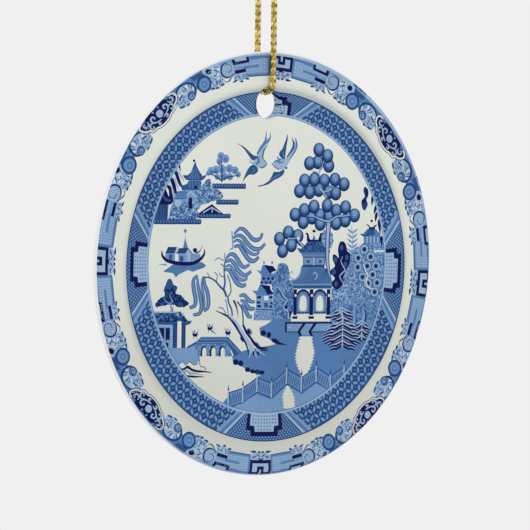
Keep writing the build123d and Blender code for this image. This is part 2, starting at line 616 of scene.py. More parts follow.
# ---------------------------------------------------------------- the outer border
BORDER_ANGLES = (4.3, 50.0, 94.9, 138.7, 180.9, 225.6, 271.5, 318.2)
BORDER_FOOT = 32.95
BORDER_HEIGHT = 0.96
BORDER_OFFSET = 0.48
BORDER_OFFSET_AT = 300
HALF_SECTOR = 27.3
BORDER_PALE_FROM = 3.5
BORDER_TOP = 4.6
BORDER_STRIPS = 8
SQUARE_STEP = (0.46, 0.44)
SQUARE_SIZE = (0.3, 0.27)


def border_place(start, stop):
    """Places (distance from the fret panel's middle, height above the border's foot) in an eighth of it."""

    def place(points):
        points = np.asarray(points, float)
        turn = np.radians(start + (stop - start) * points[:, 0] / HALF_SECTOR)
        foot = BORDER_FOOT + BORDER_OFFSET * np.cos(turn - radians(BORDER_OFFSET_AT))
        return on_circle(np.minimum(foot + BORDER_HEIGHT * points[:, 1], PRINT_RADIUS), turn)

    return place


def spiral(centre, start, stop, from_radius, to_radius):
    """Points that turn from start to stop while the radius changes evenly."""
    angles = np.linspace(start, stop, SPIRAL_POINTS)
    radii = np.linspace(from_radius, to_radius, SPIRAL_POINTS)
    return [(centre[0] + r * cos(a), centre[1] + r * sin(a)) for a, r in zip(angles, radii)]


def leaf(pen, ink, foot, tip, width, up=0):
    """A pointed leaf from foot to tip."""
    foot, tip = np.array(foot, float), np.array(tip, float)
    run = tip - foot
    side = np.array([-run[1], run[0]]) / max(np.linalg.norm(run), 1e-9) * width / 2
    pen.fill(ink, [foot, foot + run * 0.35 + side, tip, foot + run * 0.35 - side], rounded=True, up=up)


def leaves(pen, ink, places, width, up):
    """Leaves, each given as the foot's x and z and the tip's offset from it."""
    for x, z, dx, dz in places:
        leaf(pen, ink, (x, z), (x + dx, z + dz), width, up)


def squares(pen, left, right, low, high):
    """Rows of small pale squares."""
    for x in np.arange(left, right, SQUARE_STEP[0]):
        for z in np.arange(low, high, SQUARE_STEP[1]):
            box(pen, "pale", x, x + SQUARE_SIZE[0], z, z + SQUARE_SIZE[1], 4)


def fret_panel_half(pen):
    """Half of the square key-fret panel, from its middle line out, with its crest and the diaper panel."""
    box(pen, "pale", 0, 2.1, 0.8, 4.5, 3)
    pen.fills(
        ("navy", 5, [(0, 0.82), (2.35, 0.82), (2.35, 3.5), (1.8, 3.5), (1.8, 1.42), (0, 1.42)]),
        ("navy", 5, [(0, 0.55), (0.5, 0.85), (0, 0.85)]),
        ("navy", 5, [(0, 1.95), (0.74, 1.95), (0.74, 3.0), (0.2, 3.0), (0.2, 2.5), (0, 2.5)]),
    )
    box(pen, "navy", 0.2, 2.35, 3.0, 3.5, 5)
    pen.fill("pale", [(0, -0.5), (1.7, -0.6), (2.45, 0.2), (2.4, 0.85), (0, 0.85)], up=2)
    leaves(pen, "deep", ((1.1, -0.68, 1.5, 0.02), (0.1, -0.62, 0.75, 0.0)), 0.42, 4)
    leaves(pen, "strong", (
        (0.3, 0.1, 0.85, -0.35), (1.0, 0.05, 1.15, 0.45), (0.0, 0.75, 0.8, -0.3),
    ), 0.28, 4)
    leaves(pen, "mid", ((0.1, 0.3, 0.5, -0.2), (1.3, 0.55, 0.7, -0.4)), 0.24, 4)

    boxes(
        pen,
        ("light", 1, 2.35, 8.0, 0.1, 3.0),
        ("mid", 2, 2.35, 8.0, -0.12, 0.32),
        ("mid", 2, 2.35, 2.72, 0.1, 3.2),
        ("mid", 2, 4.8, 8.0, 1.5, 1.82),
        ("strong", 3, 2.35, 8.0, -0.14, 0.0),
    )
    squares(pen, 2.92, 4.5, 0.5, 2.75)
    squares(pen, 4.76, 7.3, 0.5, 1.3)
    squares(pen, 4.76, 9.6, 1.96, 2.5)


def navy_bars(pen):
    """The two short navy bars past the diaper panel, with a leafy crest below."""
    boxes(
        pen,
        ("light", 2, 7.6, 10.6, 0.5, 2.9),
        ("navy", 5, 7.6, 9.95, 0.78, 1.42),
        ("pale", 4, 7.2, 9.5, 2.9, 3.5),
    )
    pen.fill("navy", [
        (6.7, 2.45), (10.1, 2.45), (10.1, 3.45), (9.5, 3.45), (9.5, 2.9), (7.2, 2.9), (7.2, 3.45),
        (6.7, 3.45),
    ], up=5)
    pen.dot("pale", (8.8, 0.2), 1.5, 0.85, up=3)
    leaves(pen, "deep", ((7.0, -0.55, 1.0, 0.2), (9.7, -0.35, 1.1, -0.25), (8.4, -0.8, 0.8, 0.05)), 0.4, 4)
    leaves(pen, "mid", (
        (8.0, 0.6, 0.5, -1.1), (9.4, 0.6, -0.5, -1.2), (9.6, 0.4, 0.9, -0.6), (7.8, 0.5, -0.8, -0.6),
    ), 0.32, 4)


def stippled_ball(pen):
    """A pale ball of dots with a dark arc round it."""
    pen.dot("pale", (11.4, 1.85), 1.4, 1.38, points=20, up=3)
    for ring, count in ((0.3, 5), (0.62, 9), (0.95, 13)):
        for k in range(count):
            a = k * 2 * pi / count + ring
            pen.dot("mid", (11.4 + ring * cos(a), 1.85 + ring * sin(a)), 0.11, points=5, up=4)
    arc = ellipse((11.4, 1.85), 1.36, 1.32, 0, 18, -pi * 0.8, pi * 0.6)
    pen.lines(
        ("deep", 6, (0.12, 0.36, 0.36, 0.14), arc),
        ("strong", 5, 0.14, spiral((11.2, 2.0), 1.0, 5.2, 0.95, 0.5)),
        ("strong", 5, (0.1, 0.3, 0.1), [(10.3, 0.7), (11.0, 0.25), (11.8, -0.2), (12.4, 0.1)]),
    )


def flower_filler(pen):
    """Pale petals and dark curls between the ball and the roundel, round a navy dot."""
    outline = [(12.4, -0.3), (15.9, -0.4), (16.0, 3.6), (12.9, 3.6), (12.9, 1.4)]
    pen.fill("pale", outline, rounded=True, up=2)
    speckle(pen, outline, ("mid", "strong", "mid", "cream"), 0.5, 0.17, 3, seed=4, long=1.5)
    leaves(pen, "deep", (
        (12.7, -0.45, 1.0, 0.15), (13.9, -0.65, 0.9, 0.12), (14.9, -0.4, 0.85, 0.1),
    ), 0.38, 4)
    leaves(pen, "strong", (
        (13.2, 0.7, 0.5, -0.8), (14.2, 0.8, -0.1, -1.0), (15.0, 0.8, 0.1, -0.95), (13.4, 2.2, 0.7, 0.6),
    ), 0.26, 4)
    box(pen, "strong", 15.6, 18.6, 2.6, 4.2, 1)
    pen.dot("pale", (15.1, 2.75), 0.85, 0.78, up=5)
    pen.dot("navy", (15.15, 2.85), 0.56, 0.5, up=6)


def roundel(pen):
    """Rings of dark and light inside each other."""
    rings = (("deep", 1.56), ("mid", 1.22), ("light", 0.95), ("mid", 0.72), ("light", 0.28))
    for step, (ink, size) in enumerate(rings):
        pen.dot(ink, (16.8, 1.12), size, points=24, up=7 + step)


def volute(pen):
    """The large shell scroll beside the cartouche, with its small ball."""
    pen.dot("pale", (20.9, 1.4), 2.2, 1.85, points=28, up=4)
    for k in range(9):
        a = radians(8 + 19 * k)
        line = [
            (20.3 + r * cos(a + w), 0.9 + r * sin(a + w))
            for r, w in ((0.9, 0.3), (1.5, 0.12), (2.1, 0.2))
        ]
        pen.line(("strong", "cream", "mid")[k % 3], line, (0.08, 0.26, 0.06), up=5)
    arc = ellipse((20.9, 1.4), 2.1, 1.75, 0, 24, -0.05 * pi, 1.45 * pi)
    pen.line("deep", arc, (0.12, 0.36, 0.42, 0.42, 0.2), up=7)
    pen.dot("strong", (20.1, 0.5), 0.9, 0.88, points=18, up=8)
    pen.dot("light", (20.1, 0.5), 0.62, 0.6, points=14, up=9)
    pen.line("deep", spiral((20.1, 0.5), 0.2, 5.4, 0.56, 0.12), 0.15, up=10)
    outline = [(21.2, -0.4), (23.2, -0.3), (23.6, 1.2), (22.9, 2.4), (21.4, 1.6)]
    pen.fill("pale", outline, rounded=True, up=6)
    speckle(pen, outline, ("mid", "strong", "cream"), 0.5, 0.17, 7, seed=8, long=1.6)
    leaves(pen, "deep", ((22.2, -0.35, 1.3, 0.3), (21.0, -0.5, 1.0, -0.1), (21.6, 1.6, 1.2, -0.3)), 0.36, 8)


def cartouche_half(pen):
    """Half of the navy lobed cartouche with its white scrolls. Its middle line is at the sector's end."""

    def half(points):
        return [(HALF_SECTOR - x, z) for x, z in points]

    edge = [
        (0, 0.0), (1.15, 0.15), (1.8, 0.5), (2.4, 0.6), (3.0, 0.75), (3.3, 1.35), (4.0, 1.75),
        (4.35, 2.5),
    ]
    edge = smooth(edge + [(4.1, 2.95), (3.4, 3.1)])
    pen.line("strong", half(edge), 0.86, rounded=False, up=9)
    pen.line("cream", half(edge), 0.56, rounded=False, up=10)
    pen.fill("navy", half([*edge, (2.8, 2.8), (2.3, 3.35), (0.9, 3.4), (0, 3.1)]), up=11)
    for line in (
        [(0.6, 1.0), (1.4, 1.25), (2.0, 1.7), (2.0, 2.3), (1.45, 2.5), (1.2, 2.1), (1.5, 1.95)],
        [(2.0, 1.7), (2.6, 1.85), (3.0, 1.5), (2.85, 0.95), (2.4, 0.9), (2.45, 1.3)],
        [(2.6, 2.6), (2.75, 2.15), (3.35, 2.0), (3.65, 2.45), (3.4, 2.8), (3.2, 2.55)],
        [(0.25, 0.9), (0.8, 1.0), (1.2, 0.7), (0.95, 0.4), (0.75, 0.6)],
    ):
        pen.line("pale", half(line), (0.14, 0.34, 0.3, 0.2), up=12)
    pen.fill("pale", half([(0, 1.2), (0.55, 1.45), (0.72, 1.95), (0.5, 2.45), (0, 2.6)]), up=12)
    pen.dot("light", (HALF_SECTOR - 0.65, 2.95), 0.2, up=12)


def draw_border(pen, layer):
    """Eight sectors, turned over by turns, so that frets meet frets and cartouches meet cartouches."""
    pen.layer = layer
    ends = (*BORDER_ANGLES, BORDER_ANGLES[0] + 360)
    grounds = ((0, 8, 0.1, "mid"), (8, 16, 1.0, "light"), (16, HALF_SECTOR, 0.9, "mid"))
    motifs = (fret_panel_half, navy_bars, stippled_ball, flower_filler, roundel, volute, cartouche_half)
    for k in range(len(BORDER_ANGLES)):
        low, high = ends[k], ends[k + 1]
        pen.place = border_place(low, high) if k % 2 == 0 else border_place(high, low)
        for left, right, foot, ink in grounds:
            width = (right - left) / BORDER_STRIPS
            for a in np.linspace(left, right, BORDER_STRIPS + 1)[:-1]:
                box(pen, ink, a, a + width, foot, BORDER_TOP)
                box(pen, "pale", a, a + width, BORDER_PALE_FROM, BORDER_TOP, 1)
        for motif in motifs:
            motif(pen)
    pen.place = None


# ---------------------------------------------------------------- the picture in the middle
FRUIT_RADIUS = 1.24
RIBBON_LEVEL = 4


def inside(x, z, outline):
    """Whether the point lies inside the outline."""
    hit = False
    for (x0, z0), (x1, z1) in zip(outline, outline[1:] + outline[:1]):
        if (z0 > z) != (z1 > z) and x < x0 + (z - z0) * (x1 - x0) / (z1 - z0):
            hit = not hit
    return hit


def speckle(pen, outline, inks, pitch, size, up=0, seed=1, long=1.0):
    """Small leafy marks scattered over an area."""
    random = np.random.default_rng(seed)
    xs, zs = [p[0] for p in outline], [p[1] for p in outline]
    for row, z in enumerate(np.arange(min(zs), max(zs), pitch)):
        for x in np.arange(min(xs) + pitch / 2 * (row % 2), max(xs), pitch):
            px, pz, turn, scale = x, z, random.uniform(0, pi), random.uniform(0.7, 1.3)
            px += random.uniform(-0.3, 0.3) * pitch
            pz += random.uniform(-0.3, 0.3) * pitch
            ink = inks[int(random.integers(len(inks)))]
            if inside(px, pz, outline):
                pen.dot(ink, (px, pz), size * scale * long, size * 0.7, turn, points=6, up=up)


def box(pen, ink, left, right, low, high, up=0):
    pen.fill(ink, [(left, low), (right, low), (right, high), (left, high)], up=up)


def boxes(pen, *rows):
    """Boxes, each given as (ink, level, left, right, low, high)."""
    for ink, up, *sides in rows:
        box(pen, ink, *sides, up)


def bank(pen, left, right, z, half, up=6):
    """A long dark scalloped bank."""
    box(pen, "strong", left, right, z - half, z + half * 0.8, up)
    for x in np.arange(left + 0.25, right + 0.2, 0.6):
        pen.dot("deep", (x, z), 0.38, half * 1.1, points=10, up=up + 1)
        pen.dot("mid", (x, z + half * 0.1), 0.2, half * 0.6, points=8, up=up + 2)


def ribbon(pen, line, width):
    """One hanging strip of willow leaves."""
    pen.lines(
        ("strong", RIBBON_LEVEL, (width * 0.6, width * 1.15, width * 1.15, width * 0.7), line),
        ("mid", RIBBON_LEVEL + 1, (width * 0.4, width * 0.82, width * 0.82, width * 0.4), line),
        ("light", RIBBON_LEVEL + 2, (0.05, width * 0.22, width * 0.26, 0.08), line),
    )


def ball(pen, x, z, level):
    """A round fruit with its shade below. A higher level lies in front."""
    shades = (
        ("navy", 0, 0, 1, 22),
        ("deep", 0, 0.07, 0.92, 20),
        ("strong", 0, 0.15, 0.8, 20),
        ("mid", 0.03, 0.24, 0.67, 18),
        ("light", 0.04, 0.32, 0.46, 16),
    )
    for step, (ink, aside, rise, share, points) in enumerate(shades):
        centre = (x + aside, z + FRUIT_RADIUS * rise)
        pen.dot(ink, centre, FRUIT_RADIUS * share, points=points, up=4 + 5 * level + step)


def draw_birds(pen):
    """Two birds with forked tails."""
    pen.fill("pale", [
        (-3.2, 18.0), (-2.4, 19.2), (-2.1, 20.0), (-1.2, 20.9), (-0.6, 22.0), (0.4, 22.2), (0.1, 21.4),
        (-0.8, 20.3), (-1.1, 19.3), (-1.1, 18.5), (-0.2, 17.9), (-1.2, 17.2), (-2.3, 17.3),
    ], rounded=True, up=2)
    pen.lines(
        ("mid", 3, (0.3, 0.5, 0.5, 0.3, 0.12), [
            (-2.4, 19.4), (-1.6, 20.5), (-0.8, 21.4), (-0.5, 22.3), (-0.45, 23.4),
        ]),
        ("mid", 3, (0.3, 0.4, 0.25, 0.12), [(-0.7, 21.3), (0.1, 21.8), (0.45, 22.4), (0.4, 23.2)]),
        ("strong", 4, (0.1, 0.25, 0.3, 0.2, 0.12), [
            (-0.1, 20.9), (-0.8, 20.2), (-1.1, 19.3), (-1.0, 18.6), (-0.4, 18.1),
        ]),
        ("strong", 4, (0.1, 0.2, 0.2, 0.1), [(-0.2, 18.0), (-0.4, 17.5), (-1.2, 17.1), (-1.9, 17.1)]),
        ("mid", 3, (0.3, 0.5, 0.3), [(-2.2, 19.0), (-2.0, 18.2), (-2.6, 17.7)]),
        ("light", 3, (0.1, 0.25, 0.2), [(-4.1, 18.7), (-3.6, 18.0), (-2.9, 17.8)]),
    )
    pen.fill("strong", [
        (-6.8, 21.3), (-5.2, 20.7), (-4.1, 19.9), (-3.1, 19.25), (-2.1, 19.0), (-2.7, 18.55),
        (-3.4, 18.4), (-4.2, 19.2), (-5.0, 20.1), (-5.8, 20.75),
    ], rounded=True, up=5)
    pen.fill("strong", [
        (-3.0, 17.6), (-2.2, 17.1), (-2.2, 16.4), (-3.0, 15.9), (-3.9, 15.9), (-4.6, 15.5), (-5.4, 14.7),
        (-4.7, 16.2), (-4.2, 17.0), (-3.6, 17.5),
    ], rounded=True, up=5)
    pen.line("mid", [(-3.2, 17.1), (-2.9, 16.6), (-3.4, 16.2)], 0.22, up=6)
    pen.fill("pale", [
        (4.3, 19.2), (3.5, 18.6), (2.3, 18.9), (2.2, 18.3), (0.9, 17.9), (1.5, 17.2), (2.6, 16.8),
        (3.6, 16.9), (4.6, 18.0), (5.7, 19.8), (6.1, 21.2), (5.6, 21.7), (5.4, 20.6),
    ], rounded=True, up=2)
    pen.lines(
        ("strong", 3, (0.12, 0.4, 0.5, 0.3, 0.15), [
            (5.2, 22.3), (5.55, 21.3), (5.4, 20.5), (4.6, 19.5), (4.0, 18.9),
        ]),
        ("mid", 3, (0.12, 0.35, 0.4, 0.3, 0.12), [
            (5.8, 22.3), (6.2, 21.5), (6.15, 20.6), (5.6, 19.6), (4.9, 18.7),
        ]),
        ("mid", 3, (0.15, 0.4, 0.3, 0.1), [(1.3, 18.1), (2.0, 18.3), (2.7, 18.0), (3.6, 18.2)]),
        ("strong", 4, (0.1, 0.2, 0.15), [(0.9, 17.8), (1.6, 17.2), (2.5, 16.8)]),
        ("mid", 3, (0.15, 0.35, 0.1), [(2.0, 19.1), (2.4, 18.5), (3.1, 18.5)]),
    )
    pen.fill("strong", [
        (4.15, 23.0), (4.25, 22.0), (4.0, 20.8), (3.85, 19.6), (3.6, 18.6), (3.1, 18.7), (2.5, 19.2),
        (2.5, 19.8), (3.1, 20.4), (3.5, 21.2), (3.9, 22.1),
    ], rounded=True, up=5)
    pen.line("mid", [(3.3, 20.2), (3.3, 19.5), (3.5, 18.9)], (0.1, 0.35, 0.2), up=6)
    pen.dot("mid", (4.0, 17.1), 0.32, 0.24, up=3)
    pen.fill("strong", [
        (3.5, 16.8), (3.5, 16.1), (2.6, 15.4), (1.5, 15.0), (0.3, 14.3), (-0.8, 14.0), (-2.0, 13.8),
        (-1.9, 14.0), (-0.7, 14.3), (0.3, 14.9), (0.9, 15.7), (1.4, 16.4), (2.4, 16.4),
    ], rounded=True, up=5)
    pen.line("mid", [(0.2, 14.6), (1.3, 15.4), (2.6, 15.9)], (0.1, 0.3, 0.2), up=6)


def draw_island(pen):
    """The island at the left, with its pagoda, hut, banks and trees."""
    pen.fill("mid", [
        (-24.6, 7.6), (-24.1, 9.5), (-23.4, 11.5), (-21.9, 14.2), (-20.4, 12.6), (-20.2, 11.2),
        (-21.3, 10.6), (-21.5, 8.2), (-21.3, 7.5),
    ], up=1)
    box(pen, "strong", -24.6, -21.5, 8.2, 11.0, 2)
    for x in (-23.4, -22.8, -22.2, -21.8):
        box(pen, "deep", x, x + 0.2, 8.3, 10.8, 3)
    pen.fill("navy", [
        (-24.2, 10.7), (-20.9, 10.7), (-20.3, 11.2), (-20.5, 12.2), (-21.0, 12.8), (-21.4, 13.8),
        (-22.0, 14.4), (-22.8, 13.4), (-23.6, 12.0),
    ], up=3)
    pen.line("cream", [(-22.2, 13.9), (-21.6, 13.1), (-21.3, 12.1)], (0.1, 0.5, 0.1), up=4)
    pen.line("strong", [(-22.8, 12.6), (-22.0, 11.6), (-20.8, 11.3)], (0.2, 0.5, 0.3), up=4)
    pen.lines(
        ("navy", 4, (0.3, 0.7, 0.7, 0.6, 0.3), [
            (-20.6, 16.4), (-19.9, 16.2), (-19.4, 15.2), (-18.9, 14.2), (-18.2, 13.5),
        ]),
        ("navy", 4, (0.3, 0.8, 0.8, 0.6, 0.2), [
            (-21.4, 15.4), (-20.7, 14.9), (-20.2, 13.8), (-19.9, 12.9), (-19.6, 12.6),
        ]),
        ("navy", 4, (0.2, 0.6, 0.6, 0.4), [(-22.0, 14.2), (-21.2, 13.6), (-20.9, 12.6), (-20.5, 11.6)]),
        ("navy", 4, (0.15, 0.4, 0.1), [(-19.4, 17.9), (-19.1, 17.2), (-18.9, 16.4)]),
    )
    for line in (
        [(-19.7, 17.1), (-19.3, 16.3), (-18.6, 15.4), (-18.0, 14.6)],
        [(-20.6, 15.9), (-20.0, 15.0), (-19.6, 14.0), (-19.0, 13.2)],
        [(-21.3, 14.6), (-20.8, 13.6), (-20.4, 12.6), (-20.0, 12.2)],
    ):
        pen.line("pale", line, (0.12, 0.34, 0.4, 0.1), up=3)
    # the pagoda
    pen.fill("light", [
        (-20.3, 12.9), (-17.6, 13.2), (-14.5, 13.2), (-14.2, 11.0), (-15.4, 8.1), (-21.4, 8.0),
        (-20.9, 10.2), (-20.2, 11.6),
    ], up=2)
    pen.fill("mid", [(-19.8, 12.9), (-17.8, 13.1), (-16.8, 12.6), (-17.5, 11.9), (-19.9, 11.9)], up=3)
    speckle(pen, [
        (-21.2, 8.2), (-15.5, 8.2), (-15.0, 10.9), (-17.0, 11.3), (-20.4, 10.4),
    ], ("mid", "strong", "pale"), 0.36, 0.24, 4, 3, 1.2)
    box(pen, "pale", -20.0, -18.6, 10.5, 11.5, 5)
    pen.line("strong", [(-20.2, 11.75), (-17.6, 11.75)], 0.16, up=5)
    pen.line("pale", [(-17.5, 12.2), (-16.6, 12.9), (-15.6, 12.1)], 0.34, rounded=False, up=5)
    pen.fills(
        ("navy", 6, [
            (-17.0, 10.0), (-16.25, 10.0), (-16.25, 11.6), (-16.4, 11.95), (-16.85, 11.95), (-17.0, 11.6),
        ]),
        ("strong", 6, [
            (-17.0, 14.9), (-14.4, 14.9), (-14.3, 14.3), (-15.0, 13.2), (-18.5, 13.2), (-19.0, 14.3),
            (-18.2, 14.0), (-17.4, 14.3),
        ]),
        ("strong", 6, [
            (-15.8, 18.1), (-16.15, 17.3), (-16.6, 16.3), (-17.3, 15.75), (-18.3, 15.75), (-17.9, 15.25),
            (-17.2, 14.95), (-14.4, 14.95), (-13.7, 15.25), (-13.2, 15.9), (-14.1, 15.6), (-14.7, 16.3),
            (-15.35, 17.2), (-15.7, 18.1),
        ]),
    )
    for x in (-16.9, -16.3, -15.6, -14.9):
        pen.line("mid", [(x, 15.1), (x * 0.3 - 11.0, 16.9)], (0.3, 0.1), up=7)
        box(pen, "mid", x - 0.1, x + 0.16, 13.5, 14.6, 7)
    pen.lines(
        ("deep", 7, 0.16, [
            (-18.3, 15.75), (-17.8, 15.2), (-17.1, 14.95), (-14.5, 14.95), (-13.8, 15.2), (-13.3, 15.8),
        ]),
        ("light", 8, 0.12, [(-17.0, 14.82), (-14.4, 14.82)]),
        ("light", 8, 0.12, [(-18.5, 13.14), (-15.0, 13.14)]),
    )
    pen.dot("navy", (-16.0, 18.25), 0.26, 0.24, up=8)
    pen.dot("navy", (-15.55, 13.65), 0.28, 0.36, up=8)
    grove = [
        (-15.6, 13.3), (-14.0, 14.2), (-13.2, 15.0), (-12.4, 15.0), (-12.0, 13.5), (-10.6, 13.2),
        (-9.6, 12.4), (-9.9, 11.6), (-11.8, 11.3), (-12.8, 10.9), (-15.3, 10.8),
    ]
    pen.fill("light", grove, rounded=True, up=3)
    speckle(pen, grove, ("strong", "mid", "pale", "strong"), 0.34, 0.2, 4, 5, 1.3)
    # the hut
    pen.line("cream", [(-15.0, 9.6), (-12.0, 11.1), (-9.0, 9.5)], 0.4, rounded=False, up=5)
    pen.fill("navy", [(-15.2, 9.0), (-12.0, 10.8), (-9.3, 9.0)], up=6)
    pen.line("pale", [(-13.9, 9.3), (-12.0, 10.2), (-10.1, 9.3)], 0.26, rounded=False, up=7)
    box(pen, "pale", -12.05, -11.8, 9.3, 10.3, 8)
    for left, right, z, half in (
        (-24.4, -14.5, 7.75, 0.45),
        (-11.9, -4.7, 13.9, 0.46),
        (-11.0, -6.6, 11.15, 0.44),
        (-15.1, -7.9, 8.75, 0.4),
    ):
        bank(pen, left, right, z, half, 9)
    # the soft tree
    for x, z, r in (
        (-10.2, 19.1, 0.75), (-9.2, 18.6, 0.85), (-10.5, 18.2, 0.65), (-12.3, 16.5, 0.8),
        (-11.2, 16.7, 0.85), (-9.9, 16.8, 0.9), (-8.3, 16.9, 0.85), (-7.1, 16.6, 0.8), (-6.4, 15.9, 0.6),
        (-12.9, 16.1, 0.5), (-9.5, 15.6, 0.85), (-8.2, 15.5, 0.7), (-10.9, 15.5, 0.6),
    ):
        pen.dot("light", (x, z), r, r * 0.9, points=14, up=1)
        pen.dot("mid", (x, z - 0.15), r * 0.55, r * 0.45, points=10, up=2)
    for line in (
        [(-10.1, 18.8), (-10.0, 17.2), (-9.9, 14.6)],
        [(-13.0, 16.0), (-11.8, 15.8), (-10.8, 15.3), (-10.0, 14.9)],
        [(-6.2, 15.9), (-7.5, 15.6), (-8.6, 15.5), (-9.6, 15.0)],
        [(-11.1, 18.1), (-10.4, 17.5)],
        [(-12.3, 16.3), (-10.9, 16.3)],
    ):
        pen.line("strong", line, (0.1, 0.3, 0.35), up=3)


def draw_boat(pen):
    """A boat with roofed cabins, a spire and a dark curved hull."""
    pen.fill("mid", [
        (-22.3, -0.8), (-21.0, -0.1), (-20.0, 0.5), (-14.0, 0.8), (-13.0, 0.2), (-13.5, -0.2),
        (-15.0, -0.6), (-15.8, -0.9), (-17.0, -0.6), (-18.0, -1.0), (-19.0, -1.4), (-19.5, -1.9),
        (-20.2, -1.1), (-21.5, -1.0),
    ], up=1)
    pen.line("light", [(-23.2, 0.4), (-21.5, 0.35)], (0.1, 0.35), up=1)
    for x in (-21.0, -19.6, -18.2, -16.4, -15.0):
        pen.line("strong", [(x, -0.15), (x + 1.1, -0.25)], (0.05, 0.16, 0.05), up=2)
    pen.fills(
        ("light", 2, [
            (-22.0, 1.2), (-21.8, 2.5), (-17.6, 2.4), (-17.0, 3.2), (-16.1, 2.3), (-14.4, 2.2),
            (-14.2, 1.3), (-18.0, 0.6),
        ]),
        ("cream", 3, [(-19.8, 0.8), (-19.8, 2.3), (-19.1, 2.2), (-19.0, 0.8)]),
        ("pale", 3, [(-17.5, 0.8), (-17.5, 2.2), (-17.0, 3.0), (-16.3, 2.3), (-16.3, 0.9)]),
    )
    for x, low, high in ((-21.1, 1.2, 2.1), (-18.75, 0.9, 1.8)):
        box(pen, "strong", x, x + 0.75, low, high, 4)
    for x in (-20.0, -17.65, -17.3, -16.3):
        box(pen, "mid", x, x + 0.12, 0.9, 2.1, 4)
    for x in (-21.9, -19.5):
        pen.fill("deep", [
            (x, 2.3), (x + 0.6, 3.4 if x < -20 else 3.2), (x + 2.5, 3.4 if x < -20 else 3.2),
            (x + 2.0, 2.3),
        ], up=5)
        pen.line("strong", [(x + 0.5, 2.7), (x + 1.9, 2.8)], (0.1, 0.4, 0.2), up=6)
    pen.line("pale", [(-19.8, 2.4), (-19.1, 3.4)], 0.28, up=6)
    pen.line("deep", [(-17.1, 3.25), (-16.0, 2.2)], 0.16, up=6)
    pen.fill("mid", [(-18.1, 3.2), (-17.75, 4.6), (-17.65, 5.8), (-17.55, 4.6), (-17.0, 3.2)], up=4)
    pen.dot("light", (-17.65, 6.15), 0.36, 0.38, up=4)
    pen.dot("mid", (-17.65, 6.1), 0.16, 0.18, up=5)
    pen.dot("navy", (-15.5, 2.85), 0.48, 0.38, up=5)
    pen.line("strong", [
        (-15.6, 2.5), (-14.8, 2.45), (-14.3, 2.9), (-13.9, 3.7),
    ], (0.3, 0.3, 0.16, 0.08), up=5)
    pen.line("navy", [
        (-22.65, 2.75), (-22.5, 1.9), (-21.6, 1.1), (-20.0, 0.7), (-18.0, 0.5), (-16.0, 0.6),
        (-14.6, 1.1), (-13.6, 2.0), (-13.4, 3.0),
    ], (0.16, 0.5, 0.62, 0.66, 0.66, 0.62, 0.5, 0.16), up=7)


